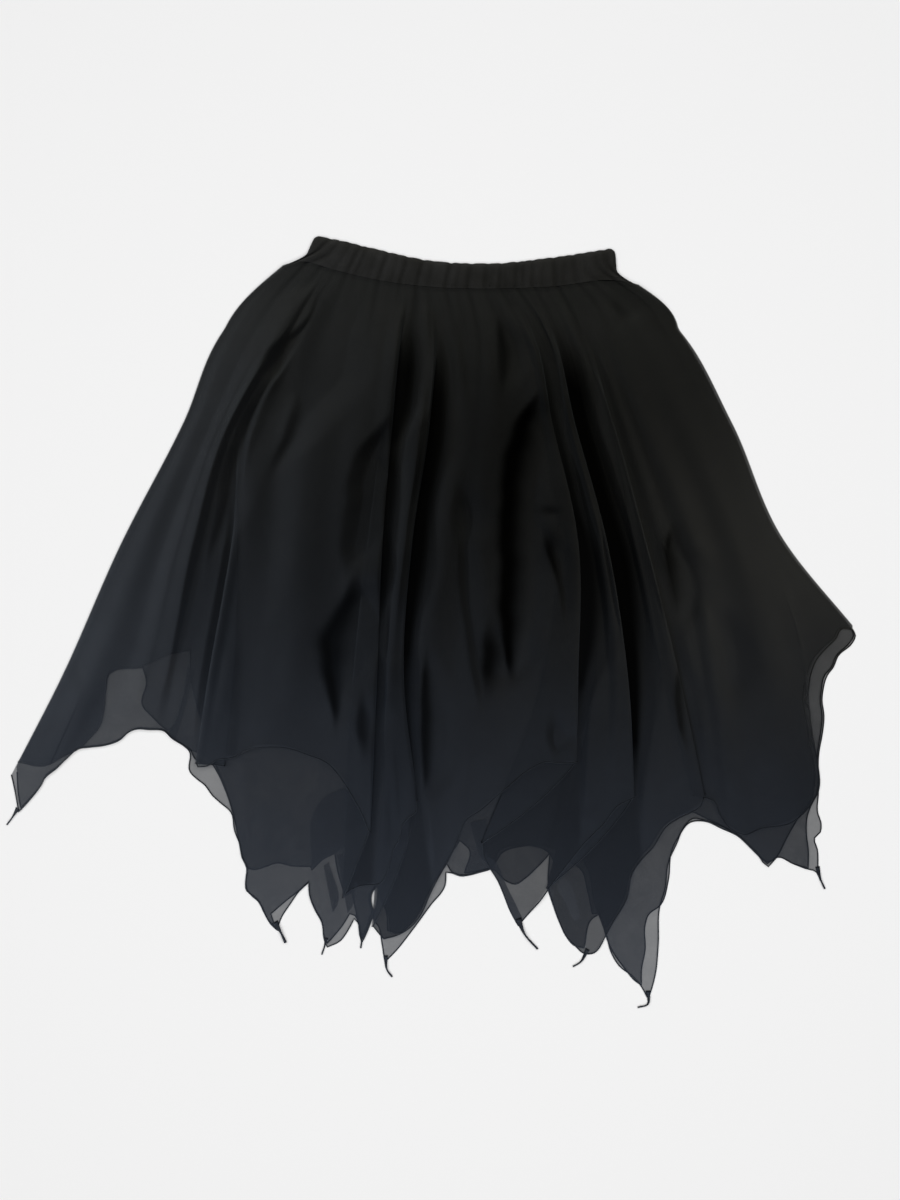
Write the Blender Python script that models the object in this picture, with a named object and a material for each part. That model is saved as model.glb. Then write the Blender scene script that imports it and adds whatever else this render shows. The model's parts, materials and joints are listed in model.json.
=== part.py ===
"""Tiered handkerchief-hem skirt in black silk chiffon, laid flat.

Four cut tiers hang from one elasticated waistband: an upper and a lower tier in
front, and an upper and a lower tier behind. The skirt lies on its back, waist
towards +Y, with the four tiers stacked on each other. The front upper tier is one
cloth that folds over itself in six soft pleats, so its hem steps down in points.
Tables are in millimetres from the middle of the footprint, with heights in
millimetres above the cloth below.
"""

import math
from collections import namedtuple

import bpy
import numpy as np

# Driving sizes, in metres
MM = 0.001
WALL = 0.001
SEAM_GAP = 0.0003
BAND_HALF = 0.0027
BAND_GATHERS = 29
GATHER_HEIGHT = 0.0016
GATHER_REACH = 0.07
GATHER_DRIFT = 0.9
GATHER_DRIFT_RATE = 1.7
TURN_RADIUS = 0.0013
HEM_LOFT = 0.0014
WAIST_LOFT = 0.0008
LOFT_FADE = 0.11
RIDE_RAMP = 0.018
LEAST_TUCK = 0.0006
LEAST_ANGLE = 0.02
SIDE_INSET = 0.0006
SHARP_EDGE = 50

# Heights of the four tiers, middle of the wall
LAYER = WALL + SEAM_GAP
BACK_UPPER_LEVEL = 0.5 * WALL
BACK_LOWER_LEVEL = BACK_UPPER_LEVEL + LAYER
FRONT_LOWER_LEVEL = BACK_LOWER_LEVEL + LAYER
FRONT_UPPER_LEVEL = FRONT_LOWER_LEVEL + LAYER + SEAM_GAP

# How finely the cloth is divided
UPPER_ROWS = 17
UNDER_ROWS = 9
ARC_STEPS = 3
TUCK_STEPS = 2
SPARSE_GAP = 0.013
ROW_CROWDING = 1.3

# The waistband, as x, lower edge and upper edge
Band = namedtuple("Band", "x lower upper")
WAISTBAND = [
    Band(-143, 388, 418),
    Band(-105, 379, 412),
    Band(-67, 370, 403),
    Band(-2, 361, 389),
    Band(63, 359, 386),
    Band(127, 361, 392),
    Band(204, 366, 404),
]
BAND_TOP_LEFT = -129
BAND_TOP_RIGHT = 198
BAND_END_FADE = 8
BAND_STEPS_PER_GATHER = 3

# The casing's section: share of its depth, and its fullness there
Puff = namedtuple("Puff", "depth fullness")
BAND_SECTION = [Puff(0.0, 0.55), Puff(0.28, 1.0), Puff(0.72, 1.0), Puff(1.0, 0.5)]
BAND_TOP_SCALLOP = 0.3

# A line runs down the cloth: its x at the waist and at four heights, its hem
# point, and how far the cloth stands up at the top, at the middle and at the hem.
STATIONS = (315, 215, 85, -65)
Line = namedtuple("Line", "name waist high upper middle low hem_x hem_y rise_top rise_mid rise_hem")

WING = [
    Line("side_left", -141, -224, -268, -335, -402, -454, -166, 0, 0, 0),
    Line("left_tail", -139, -219, -264, -328, -394, -456, -214, 0, 1, 1),
    Line("wing_outer", -134, -207, -251, -309, -367, -418, -174, 3, 3, 2),
    Line("wing_middle", -127, -190, -237, -288, -335, -369, -136, 2, 1, 1),
    Line("wing_inner", -120, -170, -225, -270, -308, -329, -121, 6, 6, 2),
    Line("wing_crest", -113, -156, -216, -255, -287, -305, -117, 9, 8, 2),
    Line("wing_foot", -109, -149, -208, -246, -279, -285, -121, 0, 0, 1),
    Line("wing_end", -106, -145, -204, -227, -255, -261, -145, 0, 0, 0),
]
LEFT_PANEL = [
    Line("thin_ridge", -98, -132, -190, -204, -227, -242, -156, 7, 3, 2),
    Line("thin_foot", -92, -116, -159, -173, -197, -210, -143, 0, 2, 1),
    Line("left_crest", -78, -93, -125, -143, -162, -178, -136, 5, 6, 3),
    Line("left_dip", -60, -71, -91, -97, -114, -129, -146, 3, 0, 1),
    Line("left_shoulder", -43, -50, -64, -75, -86, -94, -179, 5, 5, 3),
]
RIDGE = [
    Line("ridge_foot", -17, -23, -30, -42, -55, -76, -286, 0, 0, 0),
    Line("ridge_crest", -10, -5, -12, -29, -44, -37, -239, 9, 9, 3),
]
CENTRE_PANEL = [
    Line("centre_foot", 6, 13, 6, -12, -28, -52, -343, 0, 0, 0),
    Line("centre_left", 18, 27, 22, 10, -2, -23, -330, 4, 5, 2),
    Line("centre_dip", 32, 42, 39, 31, 25, 9, -274, 3, 1, 1),
    Line("centre_crest", 48, 59, 59, 54, 52, 33, -218, 5, 6, 2),
    Line("centre_trough", 61, 80, 100, 86, 89, 73, -186, 3, 0, 2),
    Line("centre_right", 69, 93, 117, 125, 124, 113, -154, 6, 7, 4),
]
FOURTH_PANEL = [
    Line("fourth_side", 86, 113, 136, 145, 134, 81, -314, 0, 0, 0),
    Line("fourth_tip", 88, 115, 138, 152, 144, 99, -343, 0, 0, 0),
    Line("fourth_hem", 90, 117, 140, 160, 160, 126, -288, 0, 0, 1),
    Line("fourth_foot", 92, 119, 143, 167, 181, 165, -238, 1, 0, 1),
    Line("fourth_crest", 95, 122, 147, 181, 200, 194, -211, 8, 8, 3),
]
FIFTH_PANEL = [
    Line("fifth_side", 110, 134, 160, 192, 194, 138, -330, 0, 0, 0),
    Line("fifth_tip", 112, 136, 162, 197, 202, 164, -363, 0, 0, 0),
    Line("fifth_hem", 114, 138, 165, 202, 212, 188, -338, 0, 0, 1),
    Line("fifth_foot", 117, 141, 169, 208, 228, 212, -294, 1, 0, 1),
    Line("fifth_crest", 125, 150, 181, 219, 248, 243, -233, 6, 6, 2),
]
RIGHT_PANEL = [
    Line("right_foot", 146, 173, 212, 259, 291, 309, -200, 0, 0, 1),
    Line("right_crest", 154, 187, 229, 280, 304, 324, -225, 5, 5, 3),
    Line("right_dip", 163, 203, 249, 303, 330, 354, -225, 3, 1, 1),
    Line("right_middle", 172, 222, 272, 327, 363, 387, -217, 5, 5, 3),
    Line("right_corner", 180, 238, 289, 346, 393, 416, -184, 4, 4, 1),
    Line("right_notch", 187, 248, 299, 357, 402, 403, -89, 3, 3, 1),
    Line("right_upper", 193, 256, 309, 366, None, 428, -27, 2, 2, 1),
    Line("side_right", 199, 264, 320, 378, None, 454, -9, 0, 0, 0),
]

# A fold: the edge that shows, how far the cloth tucks back under it at three
# heights, where its hidden turn meets the hem, where it starts to roll and is
# rolled, and how high its roll stands.
Fold = namedtuple(
    "Fold",
    "name side waist high upper middle low hem_x hem_y "
    "tuck_upper tuck_middle tuck_low turn_x turn_y starts rolled loft",
)
LEFT_EDGE = Fold(
    "left_edge", -1, -103, -141, -199, -215, -241, -255, -153,
    0, 12, 24, -226, -156, 215, 100, 2.4)
LEFT_PANEL_EDGE = Fold(
    "left_panel_edge", 1, -25, -32, -42, -53, -59, -66, -227,
    5, 12, 22, -94, -298, 358, 262, 3.4)
RIDGE_EDGE = Fold(
    "ridge_edge", 1, -1, 4, -2, -21, -30, -15, -193,
    3, 9, 16, -62, -329, 352, 232, 2.6)
CENTRE_EDGE = Fold(
    "centre_edge", 1, 80, 106, 129, 157, 157, 156, -152,
    5, 14, 34, 56, -239, 356, 260, 3.6)
FOURTH_EDGE = Fold(
    "fourth_edge", 1, 102, 127, 153, 188, 211, 218, -190,
    4, 12, 32, 126, -288, 350, 240, 3.0)
FIFTH_EDGE = Fold(
    "fifth_edge", 1, 136, 160, 194, 230, 267, 294, -190,
    4, 9, 13, 284, -188, 320, 190, 3.2)

FRONT_UPPER = [
    WING, LEFT_EDGE, LEFT_PANEL, LEFT_PANEL_EDGE, RIDGE, RIDGE_EDGE, CENTRE_PANEL,
    CENTRE_EDGE, FOURTH_PANEL, FOURTH_EDGE, FIFTH_PANEL, FIFTH_EDGE, RIGHT_PANEL,
]

# A hem corner of a tier below: its place, how far the hem bows out towards the
# next corner, into how many steps that stretch is cut, and how far it stands up.
Corner = namedtuple("Corner", "x y bow steps rise")
FRONT_LOWER_HEM = [
    Corner(-445, -153, 6, 2, 0),
    Corner(-372, -124, 3, 1, 1),
    Corner(-360, -98, 0, 1, 0),
    Corner(-336, -54, 3, 2, 0),
    Corner(-261, -30, 0, 1, 0),
    Corner(-264, -90, 0, 1, 0),
    Corner(-261, -163, 0, 1, 0),
    Corner(-227, -196, 0, 1, 0),
    Corner(-212, -228, 0, 1, 0),
    Corner(-199, -288, 2, 2, 0),
    Corner(-163, -344, -6, 2, 0),
    Corner(-133, -282, 0, 1, 0),
    Corner(-117, -332, 0, 1, 0),
    Corner(-116, -356, 6, 2, 0),
    Corner(-85, -320, 0, 1, 0),
    Corner(-77, -352, 0, 1, 0),
    Corner(-66, -322, 0, 2, 0),
    Corner(28, -228, 0, 1, 0),
    Corner(65, -268, 4, 2, 0),
    Corner(127, -251, 0, 1, 0),
    Corner(136, -316, 0, 1, 0),
    Corner(158, -353, 0, 1, 0),
    Corner(181, -314, 0, 1, 0),
    Corner(202, -372, -3, 1, 0),
    Corner(226, -397, 0, 1, 0),
    Corner(233, -416, 0, 1, 0),
    Corner(245, -345, -7, 3, 0),
    Corner(272, -222, 0, 1, 0),
    Corner(300, -214, -4, 2, 0),
    Corner(363, -265, 0, 1, 0),
    Corner(402, -161, 0, 1, 0),
    Corner(404, -84, 0, 1, 0),
    Corner(450, -12, 0, 1, 0),
]
BACK_LOWER_HEM = [
    Corner(-443, -148, 6, 2, 0),
    Corner(-382, -118, 3, 1, 0),
    Corner(-341, -56, 2, 1, 0),
    Corner(-312, -46, 0, 1, 0),
    Corner(-313, -115, 2, 1, 0),
    Corner(-288, -118, 0, 1, 0),
    Corner(-255, -62, 0, 1, 0),
    Corner(-238, -180, 0, 1, 0),
    Corner(-198, -267, -3, 2, 0),
    Corner(-131, -267, 5, 2, 0),
    Corner(-82, -224, 0, 1, 0),
    Corner(-64, -315, 0, 1, 0),
    Corner(-52, -366, 0, 1, 0),
    Corner(-46, -381, 0, 1, 0),
    Corner(-32, -350, 0, 1, 0),
    Corner(-20, -333, 3, 2, 0),
    Corner(17, -267, 9, 3, 0),
    Corner(64, -267, 0, 1, 0),
    Corner(138, -193, 0, 1, 0),
    Corner(177, -258, 0, 1, 0),
    Corner(203, -363, 0, 1, 0),
    Corner(227, -396, 0, 1, 0),
    Corner(232, -328, 0, 1, 0),
    Corner(247, -307, 3, 1, 0),
    Corner(281, -202, 0, 2, 0),
    Corner(397, -177, 0, 1, 0),
    Corner(406, -84, 0, 1, 0),
    Corner(452, -12, 0, 1, 0),
]
BACK_UPPER_HEM = [
    Corner(-441, -145, 6, 2, 0),
    Corner(-364, -85, 0, 1, 0),
    Corner(-342, -42, 0, 1, 0),
    Corner(-261, -24, 0, 1, 0),
    Corner(-238, -115, 6, 2, 0),
    Corner(-143, -134, 0, 2, 0),
    Corner(-22, -210, 0, 2, 0),
    Corner(138, -139, 0, 2, 0),
    Corner(289, -185, 0, 1, 0),
    Corner(330, -224, 4, 2, 0),
    Corner(403, -267, 0, 1, 0),
    Corner(419, -285, 0, 1, 0),
    Corner(415, -232, 0, 1, 0),
    Corner(418, -200, 3, 2, 0),
    Corner(421, -85, -8, 2, 0),
    Corner(457, -16, 0, 1, 0),
]
BACK_RIM = 4

# How the sides round out just below the waist, and how lines spread to a hem
SHOULDER_BOW = 0.009
SIDE_REACH = 260
LEAST_SPREAD = 0.006
SPREAD_POWER = 7


def clear_scene():
    for obj in list(bpy.data.objects):
        bpy.data.objects.remove(obj, do_unlink=True)


def cloth_material(name, colour, roughness):
    material = bpy.data.materials.new(name)
    material.use_nodes = True
    shader = material.node_tree.nodes["Principled BSDF"]
    shader.inputs["Base Color"].default_value = (*colour, 1.0)
    shader.inputs["Roughness"].default_value = roughness
    shader.inputs["Metallic"].default_value = 0.0
    return material


def eased(value):
    """0 below 0, 1 above 1, with level ends."""
    value = np.clip(value, 0.0, 1.0)
    return value * value * (3.0 - 2.0 * value)


def curve_through(knots, at):
    """Smooth curve through (position, value) knots, straight beyond its ends."""
    knots = sorted(knots)
    where = np.array([knot[0] for knot in knots], float)
    value = np.array([knot[1] for knot in knots], float)
    step = np.diff(where)
    slope = np.diff(value) / step
    tangent = np.empty(len(where))
    tangent[0] = slope[0]
    tangent[-1] = slope[-1]
    tangent[1:-1] = (slope[:-1] * step[1:] + slope[1:] * step[:-1]) / (step[:-1] + step[1:])
    at = np.asarray(at, float)
    inside = np.clip(at, where[0], where[-1])
    span = np.clip(np.searchsorted(where, inside) - 1, 0, len(step) - 1)
    t = (inside - where[span]) / step[span]
    first = value[span] * (1 + 2 * t) * (1 - t) ** 2 + tangent[span] * step[span] * t * (1 - t) ** 2
    second = value[span + 1] * t * t * (3 - 2 * t) + tangent[span + 1] * step[span] * t * t * (t - 1)
    beyond = np.where(at < where[0], tangent[0] * (at - where[0]), 0.0)
    beyond += np.where(at > where[-1], tangent[-1] * (at - where[-1]), 0.0)
    return first + second + beyond


def band_lower(x):
    return curve_through([(row.x * MM, row.lower * MM) for row in WAISTBAND], x)


def band_upper(x):
    return curve_through([(row.x * MM, row.upper * MM) for row in WAISTBAND], x)


def line_x(row, y):
    """x of a line, or of a fold's edge, at heights y on the cloth."""
    knots = [(float(band_lower(row.waist * MM)), row.waist * MM)]
    for station, x in zip(STATIONS, (row.high, row.upper, row.middle, row.low)):
        if x is not None:
            knots.append((station * MM, x * MM))
    knots.append((row.hem_y * MM, row.hem_x * MM))
    down = np.clip((knots[0][0] - y) / (knots[0][0] - STATIONS[0] * MM), 0.0, 1.0)
    bow = SHOULDER_BOW * (row.high / SIDE_REACH) ** 3 * np.sin(math.pi * down)
    return curve_through(knots, y) + bow


def line_rise(row, y):
    """Height of a line above the cloth below it."""
    knots = [
        (float(band_lower(row.waist * MM)), 0.0),
        (STATIONS[1] * MM, row.rise_top * MM),
        (0.5 * (STATIONS[2] + STATIONS[3]) * MM, row.rise_mid * MM),
        (min(row.hem_y, STATIONS[3] - 25) * MM, row.rise_hem * MM),
    ]
    return np.maximum(curve_through(knots, y), 0.0)


def gather_wave(share):
    """Height of the gathers at a share of the way along the waist, unevenly spaced."""
    turns = share * BAND_GATHERS
    phase = 2 * math.pi * turns + GATHER_DRIFT * math.sin(turns * GATHER_DRIFT_RATE)
    return GATHER_HEIGHT * (1 + math.cos(phase))


def gather_rise(waist_x, y, waist_y):
    """Small waves where the elastic gathers the cloth, fading down it."""
    share = (waist_x / MM - WAISTBAND[0].x) / (WAISTBAND[-1].x - WAISTBAND[0].x)
    return gather_wave(share) * np.exp(-(waist_y - y) / GATHER_REACH)


def row_heights(waist_y, hem_y, rows):
    share = np.linspace(0.0, 1.0, rows) ** ROW_CROWDING
    return waist_y + (hem_y - waist_y) * share


def fold_roll(fold, y):
    """Angle the edge has rolled through, and its two radii, at heights y."""
    rolled = eased((fold.starts * MM - y) / ((fold.starts - fold.rolled) * MM))
    angle = LEAST_ANGLE + (math.pi - LEAST_ANGLE) * rolled
    near_hem = eased((y - fold.hem_y * MM) / LOFT_FADE)
    loft = WAIST_LOFT + (HEM_LOFT + (fold.loft * MM - HEM_LOFT) * near_hem - WAIST_LOFT) * rolled
    turn = WAIST_LOFT + (TURN_RADIUS - WAIST_LOFT) * rolled
    return angle, math.pi * loft / angle, math.pi * turn / angle


def fold_tuck(fold, y):
    """How far the cloth runs back under the edge at heights y."""
    hem_tuck = abs(float(line_x(fold, fold.turn_y * MM)) - fold.turn_x * MM)
    knots = [(fold.rolled * MM, 0.0)]
    for station, tuck in zip(STATIONS[1:], (fold.tuck_upper, fold.tuck_middle, fold.tuck_low)):
        if station < fold.rolled - 20:
            knots.append((station * MM, tuck * MM))
    knots.append((fold.turn_y * MM, hem_tuck))
    return np.where(y > fold.rolled * MM, LEAST_TUCK, np.maximum(curve_through(knots, y), LEAST_TUCK))


def fold_start(fold, y):
    """x where the level cloth meets the roll."""
    angle, loft, _ = fold_roll(fold, y)
    return line_x(fold, y) - fold.side * loft * np.sin(np.minimum(angle, math.pi / 2))


def fold_drop(fold, y):
    angle, loft, turn = fold_roll(fold, y)
    return (loft + turn) * (1 - np.cos(angle))


def fold_columns(fold):
    """Columns round a fold from its upper cloth to its lower, as hem height and place."""
    shares = [("roll", step / ARC_STEPS) for step in range(ARC_STEPS + 1)]
    shares += [("tuck", step / TUCK_STEPS) for step in range(1, TUCK_STEPS)]
    shares += [("turn", step / ARC_STEPS) for step in range(ARC_STEPS + 1)]
    columns = []
    for kind, share in shares:
        hem = {"roll": fold.hem_y, "turn": fold.turn_y}.get(
            kind, fold.hem_y + (fold.turn_y - fold.hem_y) * share)

        def place(y, kind=kind, share=share):
            angle, loft, turn = fold_roll(fold, y)
            tuck = fold_tuck(fold, y)
            gone = {"roll": share * angle, "turn": (1 - share) * angle}.get(kind, angle)
            if kind == "roll":
                along = loft * np.sin(gone)
                down = loft * (1 - np.cos(gone))
            else:
                run = tuck * (share if kind == "tuck" else 1.0)
                along = loft * np.sin(angle) + run * np.cos(angle)
                down = loft * (1 - np.cos(angle)) + run * np.sin(angle)
            if kind == "turn":
                along = along + turn * (np.sin(angle) - np.sin(gone))
                down = down + turn * (np.cos(gone) - np.cos(angle))
            x = fold_start(fold, y) + fold.side * along
            return x, FRONT_UPPER_LEVEL + fold_drop(fold, y) - down

        columns.append((hem * MM, fold.waist * MM, place))
    return columns if fold.side > 0 else columns[::-1]


def ride_over(fold, x, y):
    """Least height of a panel where the tucked cloth of its fold lies under it."""
    angle, _, turn = fold_roll(fold, y)
    rolled = eased(angle - (math.pi - 1.0))
    reach = fold_start(fold, y) - fold.side * (fold_tuck(fold, y) + turn)
    over = eased((fold.side * (x - reach) + RIDE_RAMP) / RIDE_RAMP)
    return over * rolled * (2 * TURN_RADIUS + LAYER)


def panel_columns(lines, fold_before, fold_after):
    """Columns across the lines of one panel, as hem height and place."""
    bounds = list(lines)
    columns = []
    for left, right in zip([fold_before] + bounds, bounds + [fold_after]):
        if left is None:
            place = panel_place(right, right, 0.0, fold_before, fold_after)
            columns.append((right.hem_y * MM, right.waist * MM, place))
            continue
        if right is None:
            continue
        wide = abs(right.middle - left.middle) * MM > SPARSE_GAP
        steps = 2 if wide else 1
        for step in range(1, steps + 1):
            share = step / steps
            if share == 1.0 and isinstance(right, Fold):
                continue
            hem = mixed(hem_of(left, True), hem_of(right, False), share)
            waist = mixed(left.waist, right.waist, share)
            place = panel_place(left, right, share, fold_before, fold_after)
            columns.append((hem * MM, waist * MM, place))
    return columns


def mixed(first, second, share):
    return first + (second - first) * share


def hem_of(row, leaving):
    """Hem height where a panel leaves a row or arrives at it."""
    if not isinstance(row, Fold):
        return row.hem_y
    lower_side = leaving == (row.side > 0)
    return row.turn_y if lower_side else row.hem_y


def row_place(row, y, leaving):
    """x and height of a line, or of the cloth's end at a fold."""
    if not isinstance(row, Fold):
        return line_x(row, y), FRONT_UPPER_LEVEL + line_rise(row, y)
    if leaving == (row.side > 0):
        angle, loft, turn = fold_roll(row, y)
        along = (loft + turn) * np.sin(angle) + fold_tuck(row, y) * np.cos(angle)
        return fold_start(row, y) + row.side * along, np.full_like(y, FRONT_UPPER_LEVEL)
    return fold_start(row, y), FRONT_UPPER_LEVEL + fold_drop(row, y)


def panel_place(left, right, share, fold_before, fold_after):
    def place(y):
        x_left, z_left = row_place(left, y, True)
        x_right, z_right = row_place(right, y, False)
        x = mixed(x_left, x_right, share)
        z = mixed(z_left, z_right, eased(share))
        for fold, on_top in ((fold_before, -1), (fold_after, 1)):
            if fold is not None and fold.side == on_top:
                z = np.maximum(z, FRONT_UPPER_LEVEL + ride_over(fold, x, y))
        return x, z

    return place


def front_upper_grid():
    """Points of the front upper tier, by column and row."""
    parts = FRONT_UPPER
    columns = []
    for index, part in enumerate(parts):
        if isinstance(part, Fold):
            columns += fold_columns(part)
            continue
        before = parts[index - 1] if index else None
        after = parts[index + 1] if index + 1 < len(parts) else None
        columns += panel_columns(part, before, after)
    grid = []
    for hem_y, waist_x, place in columns:
        waist_y = float(band_lower(waist_x)) - SEAM_GAP
        y = row_heights(waist_y, hem_y, UPPER_ROWS)
        x, z = place(y)
        across = float(x[0])
        y = row_heights(float(band_lower(across)) - SEAM_GAP, hem_y, UPPER_ROWS)
        x, z = place(y)
        z = z + gather_rise(across, y, y[0])
        grid.append(np.stack([x, y, z], axis=1))
    return np.array(grid)


def hem_points(corners):
    """Hem corners with the bowed stretches between them, as x, y and rise."""
    points = []
    for here, there in zip(corners, corners[1:] + corners[-1:]):
        run = np.array([there.x - here.x, there.y - here.y], float)
        out = np.array([run[1], -run[0]]) / max(np.hypot(*run), 1.0)
        for step in range(here.steps if here is not there else 1):
            share = step / here.steps
            bow = out * here.bow * 4 * share * (1 - share)
            x, y = np.array([here.x, here.y]) + run * share + bow
            points.append((x * MM, y * MM, mixed(here.rise, there.rise, share) * MM))
    return points


def under_grid(corners, level, rim=0.0):
    """Points of a tier that lies under the front one, by column and row."""
    sides = WING[0], RIGHT_PANEL[-1]

    def fan(share, y):
        left = line_x(sides[0], y) + SIDE_INSET
        right = line_x(sides[1], y) + rim - SIDE_INSET
        return left + (right - left) * share

    points = hem_points(corners)
    shares = []
    for x, y, _ in points:
        left, right = fan(0.0, y), fan(1.0, y)
        share = float((x - left) / (right - left))
        shares.append(max(share, shares[-1] + LEAST_SPREAD) if shares else share)
    shares = np.array(shares)
    shares = (shares - shares[0]) / (shares[-1] - shares[0])
    grid = []
    for share, (hem_x, hem_y, rise) in zip(shares, points):
        waist_x = mixed(WAISTBAND[0].x + 2, WAISTBAND[-1].x - 5, share) * MM
        waist_y = float(band_lower(waist_x)) - SEAM_GAP
        y = row_heights(waist_y, hem_y, UNDER_ROWS)
        down = (waist_y - y) / (waist_y - hem_y)
        straight = fan(share, y)
        off_hem = hem_x - fan(share, hem_y)
        off_waist = waist_x - fan(share, waist_y)
        x = straight + off_hem * down ** SPREAD_POWER + off_waist * (1 - down) ** (2 * SPREAD_POWER)
        z = level + rise * down ** SPREAD_POWER
        grid.append(np.stack([x, y, z], axis=1))
    return np.array(grid)


def grid_normals(grid):
    """Unit normals of a grid of points, on its upper side where it lies level."""
    across = np.gradient(grid, axis=0)
    down = np.gradient(grid, axis=1)
    normal = np.cross(down, across)
    return normal / np.linalg.norm(normal, axis=2, keepdims=True)


def cloth_solid(name, grid, material):
    """Closed wall of cloth round a grid of points."""
    columns, rows = grid.shape[:2]
    half = 0.5 * WALL * grid_normals(grid)
    points = np.concatenate([(grid + half).reshape(-1, 3), (grid - half).reshape(-1, 3)])
    below = columns * rows

    def at(column, row, side=0):
        return side * below + column * rows + row

    faces = []
    for column in range(columns - 1):
        for row in range(rows - 1):
            corners = [(column, row), (column, row + 1), (column + 1, row + 1), (column + 1, row)]
            faces.append([at(*corner) for corner in corners])
            faces.append([at(*corner, 1) for corner in reversed(corners)])
    rim = [(0, row) for row in range(rows)]
    rim += [(column, rows - 1) for column in range(1, columns)]
    rim += [(columns - 1, row) for row in range(rows - 2, -1, -1)]
    rim += [(column, 0) for column in range(columns - 2, 0, -1)]
    for here, there in zip(rim, rim[1:] + rim[:1]):
        faces.append([at(*there), at(*here), at(*here, 1), at(*there, 1)])
    return solid_object(name, points, faces, material)


def solid_object(name, points, faces, material):
    mesh = bpy.data.meshes.new(name)
    mesh.from_pydata([tuple(point) for point in points], [], faces)
    mesh.validate()
    mesh.shade_smooth()
    mesh.set_sharp_from_angle(angle=math.radians(SHARP_EDGE))
    mesh.materials.append(material)
    obj = bpy.data.objects.new(name, mesh)
    bpy.context.scene.collection.objects.link(obj)
    return obj


def band_section(x_share, height, gather, face_up):
    """Ring of points round the waistband's casing at one place along it."""
    lower_x = mixed(WAISTBAND[0].x, WAISTBAND[-1].x, x_share) * MM
    upper_x = mixed(BAND_TOP_LEFT, BAND_TOP_RIGHT, x_share) * MM
    low = float(band_lower(lower_x))
    high = float(band_upper(upper_x)) + BAND_TOP_SCALLOP * gather
    upper, lower = [], []
    for depth, fullness in BAND_SECTION:
        x = mixed(lower_x, upper_x, depth)
        y = mixed(low, high, depth)
        puff = fullness * (BAND_HALF + gather) if face_up else 0.0
        upper.append((x, y, height + puff))
        lower.append((x, y, height if face_up else height - BAND_HALF))
    return upper + [lower[-1], lower[0]]


def band_solid(name, height, face_up, material):
    """Gathered casing along the waist, plain on the side it lies on."""
    steps = BAND_GATHERS * BAND_STEPS_PER_GATHER
    sections = []
    for step in range(steps + 1):
        share = step / steps
        ends = min(1.0, BAND_END_FADE * share, BAND_END_FADE * (1 - share))
        sections.append(band_section(share, height, gather_wave(share) * ends, face_up))
    size = len(sections[0])
    points = [point for ring in sections for point in ring]
    faces = [list(range(size))]
    for step in range(steps):
        for side in range(size):
            near, far = step * size + side, step * size + (side + 1) % size
            faces.append([far, near, near + size, far + size])
    faces.append([steps * size + side for side in reversed(range(size))])
    return solid_object(name, points, faces, material)


def build():
    clear_scene()
    chiffon = cloth_material("black_silk_chiffon", (0.006, 0.007, 0.008), 0.62)
    casing = cloth_material("gathered_chiffon_casing", (0.008, 0.008, 0.009), 0.7)
    cloth_solid("back_upper_tier", under_grid(BACK_UPPER_HEM, BACK_UPPER_LEVEL, BACK_RIM * MM), chiffon)
    cloth_solid("back_lower_tier", under_grid(BACK_LOWER_HEM, BACK_LOWER_LEVEL), chiffon)
    cloth_solid("front_lower_tier", under_grid(FRONT_LOWER_HEM, FRONT_LOWER_LEVEL), chiffon)
    cloth_solid("front_upper_tier", front_upper_grid(), chiffon)
    band_solid("waistband_back", BAND_HALF, False, casing)
    band_solid("waistband_front", BAND_HALF + SEAM_GAP, True, casing)


build()
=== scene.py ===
"""Dressed scene of a tiered skirt in sheer black silk chiffon, laid flat on a pale floor.

Each tier is one thin sheet of cloth on the form of its CAD solid, with its own creases
and a rolled hem. All places are in metres in the frame's axes; the tables are in
millimetres. The waist lies towards +Y and the camera looks straight down.
"""

import json
import logging
import math
from dataclasses import dataclass, field
from enum import Enum
from typing import Any, NamedTuple, Optional, Sequence, Union

import bpy
import numpy as np
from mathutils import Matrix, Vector
from mathutils.geometry import delaunay_2d_cdt

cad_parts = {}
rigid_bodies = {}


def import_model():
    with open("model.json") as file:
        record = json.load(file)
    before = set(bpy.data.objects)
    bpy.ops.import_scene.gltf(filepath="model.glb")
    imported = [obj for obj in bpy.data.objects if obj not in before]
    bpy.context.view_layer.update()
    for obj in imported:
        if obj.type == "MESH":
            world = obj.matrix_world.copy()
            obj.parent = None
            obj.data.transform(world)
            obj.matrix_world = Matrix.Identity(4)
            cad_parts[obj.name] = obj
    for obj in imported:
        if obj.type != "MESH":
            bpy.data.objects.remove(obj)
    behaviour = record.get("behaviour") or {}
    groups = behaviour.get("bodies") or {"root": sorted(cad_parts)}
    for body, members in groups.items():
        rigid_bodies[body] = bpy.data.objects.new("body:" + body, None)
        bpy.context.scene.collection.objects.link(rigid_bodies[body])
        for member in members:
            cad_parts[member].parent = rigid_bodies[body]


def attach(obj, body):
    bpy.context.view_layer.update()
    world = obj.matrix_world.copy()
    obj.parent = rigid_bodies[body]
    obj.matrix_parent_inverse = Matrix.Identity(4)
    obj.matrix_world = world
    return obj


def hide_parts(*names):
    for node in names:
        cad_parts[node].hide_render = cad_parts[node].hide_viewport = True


log = logging.getLogger("skirt")

Number = Union[float, np.ndarray]
Feed = Union[bpy.types.NodeSocket, float, tuple]

MM = 0.001
# Thickness of a CAD cloth, and the gap between two of them
WALL = 0.001
SEAM_GAP = 0.0003
LAYER = WALL + SEAM_GAP
FLOOR_CLEARANCE = 0.0008
# Painted shades beside folds and in valleys: their least width, and the one with full darkness
LEAST_WIDTH = 0.002
DARK_WIDTH = 0.008
# Point attribute with how dark a place's painted shade is, 0 to 1, which the material reads
PAINTED_SHADE_NAME = "painted_fold_shade"
# Share of a pucker's depth that the thick casing and the seam below it take
SEWN_DEPTH = 0.6


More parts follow.
